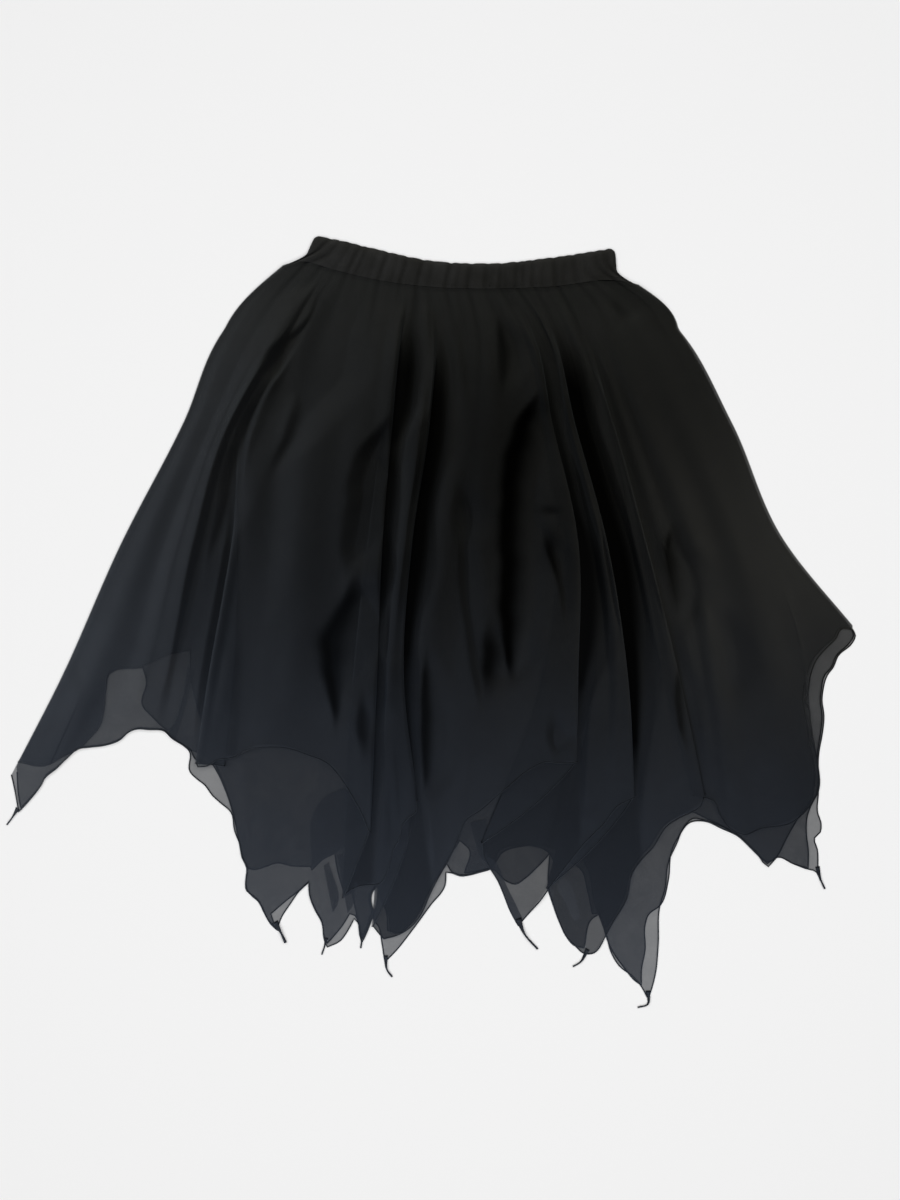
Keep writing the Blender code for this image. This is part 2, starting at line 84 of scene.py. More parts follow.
class Tier(Enum):
    """The four cloths, from the one that lies lowest to the one on top."""

    BACK_UPPER = 0
    BACK_LOWER = 1
    FRONT_LOWER = 2
    FRONT_UPPER = 3


class Band(NamedTuple):
    """One place along the waistband: x, and its lower and upper edge, in mm."""

    x: float
    lower: float
    upper: float


class Line(NamedTuple):
    """A line down the cloth: x at the waist and four heights, hem point, rises, in mm."""

    name: str
    waist: float
    high: float
    upper: float
    middle: float
    low: Optional[float]
    hem_x: float
    hem_y: float
    rise_top: float
    rise_mid: float
    rise_hem: float


class Fold(NamedTuple):
    """An edge where the cloth folds under: its line, tucks, hidden turn and roll, in mm."""

    name: str
    side: int
    waist: float
    high: float
    upper: float
    middle: float
    low: float
    hem_x: float
    hem_y: float
    tuck_upper: float
    tuck_middle: float
    tuck_low: float
    turn_x: float
    turn_y: float
    starts: float
    rolled: float
    loft: float


class Spot(NamedTuple):
    """A point of a hem, in mm."""

    x: float
    y: float


def spots(*pairs: tuple[float, float]) -> tuple[Spot, ...]:
    """Spots from pairs of numbers.

    Args:
        pairs: (x, y) of each, in mm.

    Returns:
        The spots.
    """
    return tuple(Spot(*pair) for pair in pairs)


class Crease(NamedTuple):
    """A ridge (height above 0) or valley (below 0) through three points, in mm."""

    x_top: float
    y_top: float
    x_mid: float
    y_mid: float
    x_low: float
    y_low: float
    width: float
    height: float


class Knot(NamedTuple):
    """A point of a valley's left edge, and how wide the valley is there, in mm."""

    x: float
    y: float
    wide: float


class Shade(NamedTuple):
    """A deep place in the cloth: how dark its painted shade is, 0 to 1, and its points."""

    dark: float
    points: tuple


class ShadePatch(NamedTuple):
    """A patch of painted shade: its middle and half sizes in mm, and how dark it is, 0 to 1."""

    x: float
    y: float
    wide: float
    tall: float
    dark: float


class Pucker(NamedTuple):
    """A groove across the casing: where it starts above, its lean and depth, in mm."""

    x: float
    lean: float
    depth: float


class Tail(NamedTuple):
    """The thin twisted end of a hem point: root, middle and end, and widths, in mm."""

    x_root: float
    y_root: float
    x_mid: float
    y_mid: float
    x_end: float
    y_end: float
    wide: float
    thin: float


Row = Union[Line, Fold]
# y of a line's four heights between the waist and its hem, in mm
STATIONS = (315, 215, 85, -65)

WAISTBAND = (
    Band(-160, 384, 419),
    Band(-143, 388, 418),
    Band(-105, 379, 412),
    Band(-67, 370, 403),
    Band(-2, 361, 389),
    Band(63, 359, 386),
    Band(127, 361, 392),
    Band(204, 367, 404),
    Band(222, 363, 407),
)
# x of the casing's corners, in mm
BAND_LOW_LEFT, BAND_LOW_RIGHT = -141, 200
BAND_TOP_LEFT, BAND_TOP_RIGHT = -129, 198
PUCKERS = (
    Pucker(-120, -13, 1.5), Pucker(-109, -9, 1.0), Pucker(-97, -6, 0.6), Pucker(-86, -5, 1.3),
    Pucker(-78, -4, 0.9), Pucker(-66, -2, 0.6), Pucker(-55, -2, 1.4), Pucker(-44, 1, 0.6),
    Pucker(-33, -1, 1.2), Pucker(-16, 0, 1.5), Pucker(-4, 1, 0.7), Pucker(15, 0, 1.6),
    Pucker(26, 1, 0.7), Pucker(38, 1, 1.3), Pucker(57, 0, 1.1), Pucker(64, -1, 0.6),
    Pucker(72, 1, 1.5), Pucker(77, 2, 1.0), Pucker(90, 1, 1.4), Pucker(98, 0, 0.9),
    Pucker(107, 2, 1.2), Pucker(119, 1, 0.6), Pucker(131, 3, 1.5), Pucker(142, 2, 0.6),
    Pucker(152, 4, 1.3), Pucker(164, 4, 0.8), Pucker(176, 5, 0.9), Pucker(187, 7, 1.4),
)

WING = (
    Line("side_left", -160, -224, -268, -335, -402, -454, -166, 0, 0, 0),
    Line("left_tail", -156, -219, -264, -328, -394, -456, -214, 0, 1, 1),
    Line("wing_outer", -146, -207, -251, -309, -367, -418, -174, 3, 3, 2),
    Line("wing_middle", -133, -190, -237, -288, -335, -369, -136, 2, 1, 1),
    Line("wing_inner", -120, -170, -225, -270, -308, -329, -121, 6, 6, 2),
    Line("wing_crest", -113, -156, -216, -255, -287, -305, -117, 9, 8, 2),
    Line("wing_foot", -109, -149, -208, -246, -279, -285, -121, 0, 0, 1),
    Line("wing_end", -106, -145, -204, -227, -255, -261, -145, 0, 0, 0),
)
LEFT_PANEL = (
    Line("thin_ridge", -98, -132, -190, -204, -227, -242, -156, 7, 3, 2),
    Line("thin_foot", -92, -116, -159, -173, -197, -210, -143, 0, 2, 1),
    Line("left_crest", -78, -93, -125, -143, -162, -178, -136, 5, 6, 3),
    Line("left_dip", -60, -71, -91, -97, -114, -129, -146, 3, 0, 1),
    Line("left_shoulder", -43, -50, -64, -75, -86, -94, -179, 5, 5, 3),
)
RIDGE = (
    Line("ridge_foot", -17, -23, -30, -42, -55, -76, -286, 0, 0, 0),
    Line("ridge_crest", -10, -5, -12, -29, -44, -37, -239, 9, 9, 3),
)
CENTRE_PANEL = (
    Line("centre_foot", 6, 13, 6, -12, -28, -52, -343, 0, 0, 0),
    Line("centre_left", 18, 27, 22, 10, -2, -23, -330, 4, 5, 2),
    Line("centre_dip", 32, 42, 39, 31, 25, 9, -274, 3, 1, 1),
    Line("centre_crest", 48, 59, 59, 54, 52, 33, -218, 5, 6, 2),
    Line("centre_trough", 61, 80, 100, 86, 89, 73, -186, 3, 0, 2),
    Line("centre_right", 69, 93, 117, 125, 124, 113, -154, 6, 7, 4),
)
FOURTH_PANEL = (
    Line("fourth_side", 86, 113, 136, 145, 134, 81, -314, 0, 0, 0),
    Line("fourth_tip", 88, 115, 138, 152, 144, 99, -343, 0, 0, 0),
    Line("fourth_hem", 90, 117, 140, 160, 160, 126, -288, 0, 0, 1),
    Line("fourth_foot", 92, 119, 143, 167, 181, 165, -238, 1, 0, 1),
    Line("fourth_crest", 95, 122, 147, 181, 200, 194, -211, 8, 8, 3),
)
FIFTH_PANEL = (
    Line("fifth_side", 110, 134, 160, 192, 194, 138, -330, 0, 0, 0),
    Line("fifth_tip", 112, 136, 162, 197, 202, 164, -363, 0, 0, 0),
    Line("fifth_hem", 114, 138, 165, 202, 212, 188, -338, 0, 0, 1),
    Line("fifth_foot", 117, 141, 169, 208, 228, 212, -294, 1, 0, 1),
    Line("fifth_crest", 125, 150, 181, 219, 248, 243, -233, 6, 6, 2),
)
RIGHT_PANEL = (
    Line("right_foot", 146, 173, 212, 259, 291, 309, -200, 0, 0, 1),
    Line("right_crest", 154, 187, 229, 280, 304, 324, -225, 5, 5, 3),
    Line("right_dip", 163, 203, 249, 303, 330, 354, -225, 3, 1, 1),
    Line("right_middle", 172, 222, 272, 327, 363, 387, -217, 5, 5, 3),
    Line("right_corner", 183, 238, 289, 346, 393, 416, -184, 4, 4, 1),
    Line("right_notch", 194, 248, 299, 357, 402, 403, -89, 3, 3, 1),
    Line("right_upper", 207, 256, 309, 366, None, 428, -27, 2, 2, 1),
    Line("side_right", 222, 264, 320, 378, None, 454, -9, 0, 0, 0),
)

LEFT_EDGE = Fold(
    "left_edge", -1, -103, -141, -199, -215, -241, -255, -153,
    0, 12, 24, -226, -156, 215, 100, 2.4)
LEFT_PANEL_EDGE = Fold(
    "left_panel_edge", 1, -25, -32, -42, -53, -59, -66, -227,
    5, 12, 22, -94, -298, 358, 262, 3.4)
RIDGE_EDGE = Fold(
    "ridge_edge", 1, -1, 4, -2, -21, -30, -15, -193,
    3, 9, 16, -62, -329, 352, 232, 2.6)
CENTRE_EDGE = Fold(
    "centre_edge", 1, 80, 106, 129, 157, 157, 156, -152,
    5, 14, 34, 56, -239, 356, 260, 3.6)
FOURTH_EDGE = Fold(
    "fourth_edge", 1, 102, 127, 153, 188, 211, 218, -190,
    4, 12, 32, 126, -288, 350, 240, 3.0)
FIFTH_EDGE = Fold(
    "fifth_edge", 1, 136, 160, 194, 230, 267, 294, -190,
    4, 9, 13, 284, -188, 320, 190, 3.2)

# Hems of the top cloth's panels, from left to right, then of the cloths below
WING_HEM = spots(
    (-450, -183), (-446, -206), (-434, -193), (-423, -179), (-418, -170), (-405, -159),
    (-394, -148), (-382, -138), (-369, -136), (-353, -134), (-335, -127), (-329, -121),
    (-321, -117), (-305, -117), (-288, -119), (-281, -126), (-270, -133), (-260, -140),
    (-257, -147),
)
LEFT_HEM = spots(
    (-252, -157), (-242, -156), (-232, -150), (-215, -147), (-197, -138), (-178, -136),
    (-157, -137), (-132, -145), (-113, -153), (-99, -168), (-85, -190), (-76, -206),
)
RIDGE_HEM = spots(
    (-89, -291), (-78, -286), (-67, -284), (-55, -282), (-49, -272), (-42, -247), (-35, -234),
    (-32, -220), (-26, -212), (-17, -205),
)
CENTRE_HEM = spots(
    (-58, -336), (-52, -343), (-38, -339), (-22, -329), (-13, -318), (-2, -294), (5, -280),
    (19, -255), (31, -228), (35, -217), (52, -204), (81, -179), (106, -159), (120, -152),
    (138, -153),
)
FOURTH_HEM = spots(
    (56, -253), (63, -267), (71, -280), (77, -294), (84, -312), (93, -329), (104, -316),
    (117, -301), (126, -288), (135, -276), (149, -258), (165, -238), (185, -218), (200, -199),
)
FIFTH_HEM = spots(
    (131, -307), (138, -326), (146, -342), (154, -350), (165, -359), (172, -359), (188, -338),
    (194, -327), (210, -299), (216, -272), (225, -258), (237, -245), (254, -220), (268, -211),
    (279, -206), (289, -199),
)
RIGHT_HEM = spots(
    (295, -191), (302, -193), (311, -210), (322, -224), (336, -230), (354, -224), (387, -217),
    (403, -204), (415, -186), (417, -166), (413, -141), (410, -129), (408, -112), (406, -94),
    (402, -87), (405, -78), (408, -58), (414, -42), (426, -28), (436, -18), (441, -9),
)
FRONT_LOWER_HEM = spots(
    (-447, -152), (-418, -156), (-396, -145), (-380, -137), (-369, -126), (-359, -114), (-354, -96),
    (-352, -75), (-348, -55), (-340, -51), (-321, -50), (-302, -44), (-288, -37), (-261, -31),
    (-261, -51), (-269, -85), (-278, -112), (-284, -120), (-270, -133), (-262, -140), (-261, -163),
    (-254, -170), (-245, -177), (-237, -188), (-227, -197), (-217, -206), (-213, -226),
    (-207, -242), (-205, -255), (-199, -267), (-201, -280), (-200, -291), (-194, -296),
    (-188, -301), (-181, -314), (-175, -326), (-167, -334), (-164, -323), (-153, -305),
    (-143, -291), (-133, -282), (-132, -296), (-126, -312), (-119, -325), (-116, -345),
    (-113, -352), (-99, -345), (-91, -334), (-84, -321), (-80, -325), (-78, -338), (-75, -346),
    (-70, -335), (-66, -324), (-63, -313), (-65, -307), (-65, -294), (-59, -285), (-55, -301),
    (-48, -316), (-46, -335), (-38, -337), (-23, -327), (-14, -315), (-3, -292), (4, -279),
    (16, -262), (22, -271), (30, -274), (41, -273), (52, -270), (65, -268), (79, -280), (90, -284),
    (100, -278), (113, -266), (127, -251), (126, -288), (131, -307), (138, -326), (146, -342),
    (153, -350), (164, -353), (174, -320), (181, -316), (188, -338), (194, -359), (202, -372),
    (217, -384), (227, -396), (233, -408), (235, -403), (241, -381), (244, -350), (246, -307),
    (251, -291), (255, -260), (264, -240), (272, -222), (281, -213), (294, -215), (313, -222),
    (330, -231), (343, -243), (352, -252), (357, -260), (363, -265), (373, -253), (381, -237),
    (396, -211), (408, -195), (413, -166), (408, -134), (402, -98), (400, -85), (404, -58),
    (410, -42), (423, -27), (434, -17), (438, -9), (451, -8),
)
BACK_LOWER_HEM = spots(
    (-443, -152), (-418, -154), (-396, -144), (-380, -136), (-369, -125), (-360, -114), (-355, -98),
    (-352, -75), (-347, -56), (-339, -52), (-321, -51), (-312, -50), (-308, -64), (-312, -92),
    (-302, -103), (-292, -113), (-285, -118), (-278, -112), (-269, -85), (-262, -55), (-255, -85),
    (-244, -123), (-233, -156), (-222, -183), (-215, -206), (-208, -239), (-205, -255),
    (-200, -267), (-201, -280), (-200, -289), (-194, -297), (-188, -302), (-181, -315),
    (-175, -325), (-170, -329), (-174, -316), (-159, -303), (-145, -292), (-133, -281),
    (-132, -296), (-126, -311), (-119, -324), (-116, -342), (-113, -348), (-106, -340), (-97, -329),
    (-89, -316), (-83, -318), (-80, -324), (-78, -336), (-75, -343), (-71, -334), (-67, -323),
    (-64, -313), (-66, -307), (-66, -294), (-60, -285), (-58, -286), (-60, -307), (-63, -315),
    (-63, -322), (-58, -329), (-54, -348), (-51, -368), (-40, -357), (-21, -333), (-2, -307),
    (14, -285), (15, -271), (22, -272), (30, -275), (41, -274), (52, -271), (64, -267), (73, -247),
    (95, -242), (127, -251), (134, -267), (147, -259), (160, -267), (168, -291), (173, -316),
    (181, -315), (194, -355), (208, -375), (220, -389), (226, -393), (226, -377), (230, -355),
    (230, -328), (233, -318), (247, -306), (255, -280), (259, -247), (267, -231), (279, -217),
    (294, -216), (313, -224), (330, -232), (343, -244), (352, -253), (362, -262), (373, -255),
    (390, -262), (406, -267), (406, -247), (404, -231), (405, -210), (410, -197), (416, -186),
    (416, -141), (419, -123), (421, -102), (419, -85), (420, -75), (424, -58), (431, -50),
    (436, -38), (451, -23), (455, -16), (453, -9),
)
BACK_UPPER_HEM = spots(
    (-448, -163), (-447, -183), (-444, -202), (-433, -190), (-422, -177), (-417, -167),
    (-404, -157), (-393, -147), (-381, -137), (-368, -135), (-352, -133), (-335, -126),
    (-328, -120), (-320, -116), (-305, -116), (-288, -118), (-281, -125), (-270, -132),
    (-261, -139), (-255, -141), (-244, -146), (-233, -161), (-222, -185), (-215, -207),
    (-208, -239), (-204, -255), (-198, -267), (-189, -268), (-180, -265), (-166, -261),
    (-153, -264), (-131, -265), (-130, -269), (-116, -256), (-105, -251), (-102, -269), (-94, -296),
    (-86, -293), (-82, -314), (-80, -322), (-77, -335), (-75, -340), (-71, -332), (-68, -322),
    (-65, -312), (-67, -307), (-67, -294), (-60, -284), (-55, -300), (-49, -315), (-48, -334),
    (-38, -336), (-23, -326), (-14, -314), (-3, -291), (4, -278), (16, -258), (30, -237),
    (40, -246), (35, -272), (52, -269), (63, -266), (77, -249), (97, -243), (123, -243),
    (138, -247), (154, -245), (168, -267), (175, -301), (186, -333), (192, -325), (207, -298),
    (214, -271), (222, -257), (234, -244), (252, -219), (267, -210), (279, -206), (294, -212),
    (313, -221), (330, -231), (343, -243), (352, -252), (363, -260), (373, -255), (390, -262),
    (403, -267), (415, -271), (419, -280), (417, -270), (416, -247), (413, -234), (419, -228),
    (420, -220), (416, -206), (417, -186), (418, -139), (421, -123), (423, -102), (421, -85),
    (422, -75), (427, -58), (433, -50), (438, -38), (454, -23), (457, -16), (454, -9),
)

FRONT_UPPER = (
    WING, LEFT_EDGE, LEFT_PANEL, LEFT_PANEL_EDGE, RIDGE, RIDGE_EDGE, CENTRE_PANEL,
    CENTRE_EDGE, FOURTH_PANEL, FOURTH_EDGE, FIFTH_PANEL, FIFTH_EDGE, RIGHT_PANEL,
)
PANEL_HEMS = (
    WING_HEM, LEFT_HEM, RIDGE_HEM, CENTRE_HEM, FOURTH_HEM, FIFTH_HEM, RIGHT_HEM,
)

# Laps of the front lower cloth, where it folds over itself
NARROW_LAP = spots(
    (-264, -49), (-257, -53), (-262, -77), (-269, -103), (-276, -125), (-284, -119), (-278, -112),
    (-269, -85),
)
MIDDLE_LAP = spots(
    (-130, -267), (-127, -206), (-119, -193), (-95, -180), (-81, -204), (-81, -220), (-89, -239),
    (-99, -247), (-116, -256),
)
WEDGE_LAP = spots(
    (41, -217), (59, -213), (59, -260), (53, -256), (48, -243),
)
EDGE_LAP = spots(
    (56, -251), (63, -267), (71, -280), (77, -294), (84, -312), (93, -328), (98, -322), (91, -307),
    (83, -291), (77, -278), (67, -258),
)
PLEAT_LAP = spots(
    (-117, -264), (-111, -260), (-103, -308), (-107, -314),
)
SECOND_PLEAT_LAP = spots(
    (-102, -254), (-96, -251), (-86, -308), (-91, -315),
)
FRONT_LOWER_LAPS = (
    NARROW_LAP, MIDDLE_LAP, WEDGE_LAP, EDGE_LAP, PLEAT_LAP, SECOND_PLEAT_LAP,
)

# Valleys of the top cloth, by their left edge, from top to bottom
DARK_RIGHT_OF_CENTRE = (
    Knot(114, 247, 3), Knot(91, 217, 19), Knot(79, 185, 26), Knot(73, 141, 23), Knot(71, 87, 24),
    Knot(71, 44, 24), Knot(71, 1, 22), Knot(76, -31, 14), Knot(85, -68, 4),
)
CENTRE_SLANT = (
    Knot(29, 98, 4), Knot(27, 55, 9), Knot(33, 1, 9), Knot(41, -53, 10), Knot(50, -92, 4),
)
CENTRE_LOW = (
    Knot(57, -1, 11), Knot(52, -37, 21), Knot(56, -79, 9),
)
CENTRE_HIGH = (
    Knot(70, 327, 5), Knot(70, 287, 12), Knot(73, 245, 5),
)
CENTRE_SOFT = (
    Knot(23, 146, 8), Knot(19, 109, 16), Knot(25, 79, 9),
)
RIDGE_FOOT = (
    Knot(-8, -31, 4), Knot(-13, -85, 12), Knot(-14, -129, 14), Knot(-16, -166, 13),
    Knot(-19, -200, 6),
)
CENTRE_HEM_VALLEY = (
    Knot(126, -98, 8), Knot(122, -123, 14), Knot(129, -148, 6),
)
LEFT_HIGH = (
    Knot(-50, 217, 9), Knot(-80, 185, 19), Knot(-95, 131, 32), Knot(-99, 82, 24),
    Knot(-97, 50, 11),
)
LEFT_LOW = (
    Knot(-86, 50, 9), Knot(-104, 14, 26), Knot(-123, -23, 35), Knot(-120, -55, 24),
    Knot(-109, -92, 10), Knot(-106, -118, 4),
)
LEFT_HEM_VALLEY = (
    Knot(-78, -77, 6), Knot(-82, -112, 14), Knot(-77, -146, 8),
)
UNDER_LEFT_RIDGE = (
    Knot(-114, 363, 11), Knot(-137, 309, 21), Knot(-146, 262, 24), Knot(-160, 206, 15),
    Knot(-177, 159, 6),
)
UNDER_WING_EDGE = (
    Knot(-117, 377, 9), Knot(-151, 312, 19), Knot(-179, 291, 22), Knot(-184, 255, 19),
    Knot(-207, 217, 17), Knot(-227, 163, 15), Knot(-235, 109, 11), Knot(-244, 66, 6),
)
RIGHT_LEAF = (
    Knot(259, 113, 3), Knot(249, 82, 11), Knot(244, 50, 21), Knot(244, 28, 22), Knot(251, 4, 12),
    Knot(258, -21, 3),
)
RIGHT_NARROW = (
    Knot(264, -42, 4), Knot(259, -75, 11), Knot(262, -107, 9), Knot(273, -141, 3),
)
RIGHT_SHOULDER = (
    Knot(184, 375, 5), Knot(194, 347, 10), Knot(205, 316, 5),
)
POCKET = (
    Knot(118, 100, 4), Knot(122, 77, 9), Knot(134, 39, 6), Knot(141, -4, 4),
)
RIGHT_SOFT = (
    Knot(289, 23, 9), Knot(302, -31, 15), Knot(315, -92, 9),
)
# Each valley with how dark its painted shade is, 0 to 1
VALLEYS = (
    Shade(1.0, DARK_RIGHT_OF_CENTRE), Shade(0.45, CENTRE_SLANT), Shade(0.9, CENTRE_LOW),
    Shade(0.5, CENTRE_HIGH), Shade(0.2, CENTRE_SOFT), Shade(0.8, RIDGE_FOOT),
    Shade(0.5, CENTRE_HEM_VALLEY), Shade(0.25, LEFT_HIGH), Shade(0.8, LEFT_LOW),
    Shade(0.6, LEFT_HEM_VALLEY), Shade(0.25, UNDER_LEFT_RIDGE), Shade(0.1, UNDER_WING_EDGE),
    Shade(0.9, RIGHT_LEAF), Shade(0.75, RIGHT_NARROW), Shade(0.2, RIGHT_SHOULDER),
    Shade(0.9, POCKET), Shade(0.1, RIGHT_SOFT),
)

# Painted shade with no change of form: darker over the middle, the tuck and its pocket, and the
# ridge's root
PAINTED_SHADE_PATCHES = (
    ShadePatch(45, 190, 130, 175, 0.42), ShadePatch(127, 119, 13, 5, 0.7), ShadePatch(129, 84, 8, 16, 0.6),
    ShadePatch(-10, 60, 26, 90, 0.25), ShadePatch(150, 60, 20, 60, 0.2),
)

# How dark the painted shade beside each fold is, and how wide it is by height: (height, width) in
# mm
FOLD_SHADES = {
    "left_edge": Shade(0.2, ((215, 2), (-150, 2))),
    "left_panel_edge": Shade(0.85, (
        (345, 3), (292, 19), (238, 20), (190, 7), (140, 12), (88, 11), (20, 7), (-227, 4),
    )),
    "ridge_edge": Shade(0.95, (
        (330, 4), (282, 10), (215, 18), (140, 18), (60, 17), (20, 13), (-35, 8), (-193, 3),
    )),
    "centre_edge": Shade(0.9, (
        (310, 3), (250, 6), (160, 7), (108, 9), (70, 20), (20, 24), (-20, 20), (-75, 7),
        (-152, 3),
    )),
    "fourth_edge": Shade(1.0, (
        (320, 6), (270, 20), (200, 20), (110, 22), (60, 27), (20, 24), (-50, 17), (-120, 9),
        (-190, 3),
    )),
    "fifth_edge": Shade(0.5, ((320, 3), (190, 4), (60, 6), (-40, 5), (-190, 3))),
}

# Small creases of the top cloth that the lines don't give
UPPER_CREASES = (
    Crease(286, 20, 310, -50, 318, -90, 11, -2.0),
    Crease(198, 370, 205, 366, 212, 360, 5, -1.6),
    Crease(192, 345, 200, 330, 205, 310, 4, -1.4),
    Crease(-118, 398, -134, 375, -146, 355, 5, -1.6),
    Crease(116, 122, 126, 118, 138, 114, 3, -1.6),
    Crease(112, 110, 118, 90, 120, 60, 4, -1.4),
    Crease(124, 112, 130, 85, 128, 50, 5, 1.6),
    Crease(138, 112, 143, 80, 140, 40, 4, -1.3),
    Crease(293, -181, 303, -184, 312, -186, 2.5, -1.2),
    Crease(-190, 250, -228, 120, -268, 10, 14, 1.6),
    Crease(-250, 180, -290, 80, -330, -30, 13, -1.4),
    Crease(-115, 355, -178, 240, -213, 138, 6, 2.4),
    Crease(-120, 378, -186, 272, -230, 140, 6, 2.2),
    Crease(-330, 20, -368, -60, -404, -130, 12, 1.4),
    Crease(-75, 250, -92, 140, -100, 40, 12, 1.6),
    Crease(-140, 40, -165, -40, -172, -110, 13, -1.6),
    Crease(-215, -20, -222, -70, -232, -120, 8, 1.3),
    Crease(60, 300, 66, 240, 70, 180, 9, 1.6),
    Crease(30, 340, 36, 280, 44, 230, 7, -1.5),
    Crease(50, 0, 40, -90, 30, -170, 10, 1.6),
    Crease(110, -20, 112, -80, 108, -130, 11, -1.5),
    Crease(140, -90, 146, -130, 150, -160, 7, 1.4),
    Crease(340, 60, 362, -20, 378, -110, 15, 1.5),
    Crease(372, 40, 388, -30, 398, -90, 9, -1.2),
    Crease(330, -60, 345, -120, 352, -180, 14, 1.2),
    Crease(170, 330, 182, 290, 190, 240, 6, 1.5),
)
# Creases of the front lower cloth, where it shows past the top one
UNDER_CREASES = (
    Crease(-203, -135, -201, -190, -200, -250, 5, 2.2),
    Crease(-185, -180, -180, -230, -176, -290, 8, 1.2),
    Crease(-150, -210, -146, -240, -140, -265, 5, 1.6),
    Crease(-118, -265, -112, -300, -104, -330, 5, 1.4),
    Crease(-104, -250, -98, -285, -92, -315, 4, -1.2),
    Crease(-88, -260, -78, -300, -76, -330, 4, 1.6),
    Crease(140, -270, 150, -300, 160, -335, 5, 1.4),
    Crease(215, -290, 228, -340, 236, -390, 6, 1.5),
    Crease(250, -230, 246, -270, 238, -310, 7, 1.2),
    Crease(340, -215, 352, -235, 360, -255, 6, 1.2),
    Crease(396, -215, 402, -240, 408, -260, 5, 1.2),
    Crease(424, -20, 418, -60, 414, -110, 4, 1.3),
)

UPPER_TAILS = (
    Tail(-447, -202, -453, -212, -459, -220, 5, 1.6),
    Tail(93, -321, 100, -338, 114, -354, 7, 2.2),
    Tail(168, -354, 161, -367, 152, -373, 5, 1.8),
)
FRONT_LOWER_TAILS = (
    Tail(-170, -325, -163, -336, -158, -347, 8, 3),
    Tail(-114, -342, -116, -351, -119, -360, 4, 1.6),
    Tail(-77, -338, -76, -346, -77, -353, 4, 1.8),
    Tail(233, -399, 233, -413, 222, -417, 5, 1.8),
)
BACK_LOWER_TAILS = (Tail(-50, -361, -49, -375, -43, -384, 5, 2),)
BACK_UPPER_TAILS = (Tail(416, -265, 419, -278, 424, -289, 5, 2),)


def eased(value: np.ndarray) -> np.ndarray:
    """Ramp with level ends.

    Args:
        value: Any numbers.

    Returns:
        0 where the number is below 0, 1 where it is above 1, and a smooth step between.
    """
    value = np.clip(value, 0.0, 1.0)
    return value * value * (3.0 - 2.0 * value)


def mixed(first: Number, second: Number, share: Number) -> Number:
    """Mean of two values.

    Args:
        first: The value at share 0.
        second: The value at share 1.
        share: How far it is from the first to the second.

    Returns:
        The value at that share.
    """
    return first + (second - first) * share


def curve_through(knots: Sequence[tuple[float, float]], at: np.ndarray) -> np.ndarray:
    """Smooth curve through knots, straight beyond its ends.

    Args:
        knots: (position, value) pairs in any order.
        at: Positions to read.

    Returns:
        The curve's values there.
    """
    knots = sorted(knots)
    where = np.array([knot[0] for knot in knots], float)
    value = np.array([knot[1] for knot in knots], float)
    step = np.diff(where)
    slope = np.diff(value) / step
    tangent = np.empty(len(where))
    tangent[0], tangent[-1] = slope[0], slope[-1]
    tangent[1:-1] = (slope[:-1] * step[1:] + slope[1:] * step[:-1]) / (step[:-1] + step[1:])
    at = np.asarray(at, float)
    inside = np.clip(at, where[0], where[-1])
    span = np.clip(np.searchsorted(where, inside) - 1, 0, len(step) - 1)
    t = (inside - where[span]) / step[span]
    first = value[span] * (1 + 2 * t) * (1 - t) ** 2
    first += tangent[span] * step[span] * t * (1 - t) ** 2
    second = value[span + 1] * t * t * (3 - 2 * t)
    second += tangent[span + 1] * step[span] * t * t * (t - 1)
    below = np.where(at < where[0], tangent[0] * (at - where[0]), 0.0)
    above = np.where(at > where[-1], tangent[-1] * (at - where[-1]), 0.0)
    return first + second + below + above


def smooth_path(points: np.ndarray, spacing: float, sharp: float = 1.1) -> np.ndarray:
    """Even points along a path that is rounded at its gentle corners.

    Args:
        points: Corners of the path, (n, 2 or 3), in metres.
        spacing: Distance between the points returned.
        sharp: Least turn, in radians, of a corner that stays sharp.

    Returns:
        The path's points, its corners among them.
    """
    step = np.diff(points, axis=0)
    length = np.maximum(np.linalg.norm(step, axis=1), 1e-6)
    heading = step / length[:, None]
    before = np.vstack([heading[:1], heading])
    after = np.vstack([heading, heading[-1:]])
    weight = np.concatenate([length[:1], length]), np.concatenate([length, length[-1:]])
    mean = before * weight[1][:, None] + after * weight[0][:, None]
    mean /= np.maximum(np.linalg.norm(mean, axis=1), 1e-9)[:, None]
    turn = np.arccos(np.clip((before * after).sum(axis=1), -1.0, 1.0)) > sharp
    leave = np.where(turn[:, None], after, mean)
    arrive = np.where(turn[:, None], before, mean)
    made = []
    for index, size in enumerate(length):
        count = max(1, int(round(size / spacing)))
        t = (np.arange(count) / count)[:, None]
        made.append(
            points[index] * (1 + 2 * t) * (1 - t) ** 2
            + leave[index] * size * t * (1 - t) ** 2
            + points[index + 1] * t * t * (3 - 2 * t)
            + arrive[index + 1] * size * t * t * (t - 1)
        )
    return np.vstack(made + [points[-1:]])


def metres(rows: Sequence[Spot]) -> np.ndarray:
    """Spots as an array.

    Args:
        rows: Spots in millimetres.

    Returns:
        (n, 2) places in metres.
    """
    return np.array([(row.x, row.y) for row in rows], float) * MM


def band_edge(x: np.ndarray, upper: bool = False) -> np.ndarray:
    """An edge of the waistband.

    Args:
        x: Places along it, in metres.
        upper: True for the upper edge, else the lower.

    Returns:
        y of that edge there.
    """
    edge = [(row.x * MM, (row.upper if upper else row.lower) * MM) for row in WAISTBAND]
    return curve_through(edge, x)


# The shoulders bow out, more towards the sides: the bow in metres and its reach in mm
SHOULDER_BOW = 0.009
SIDE_REACH = 260


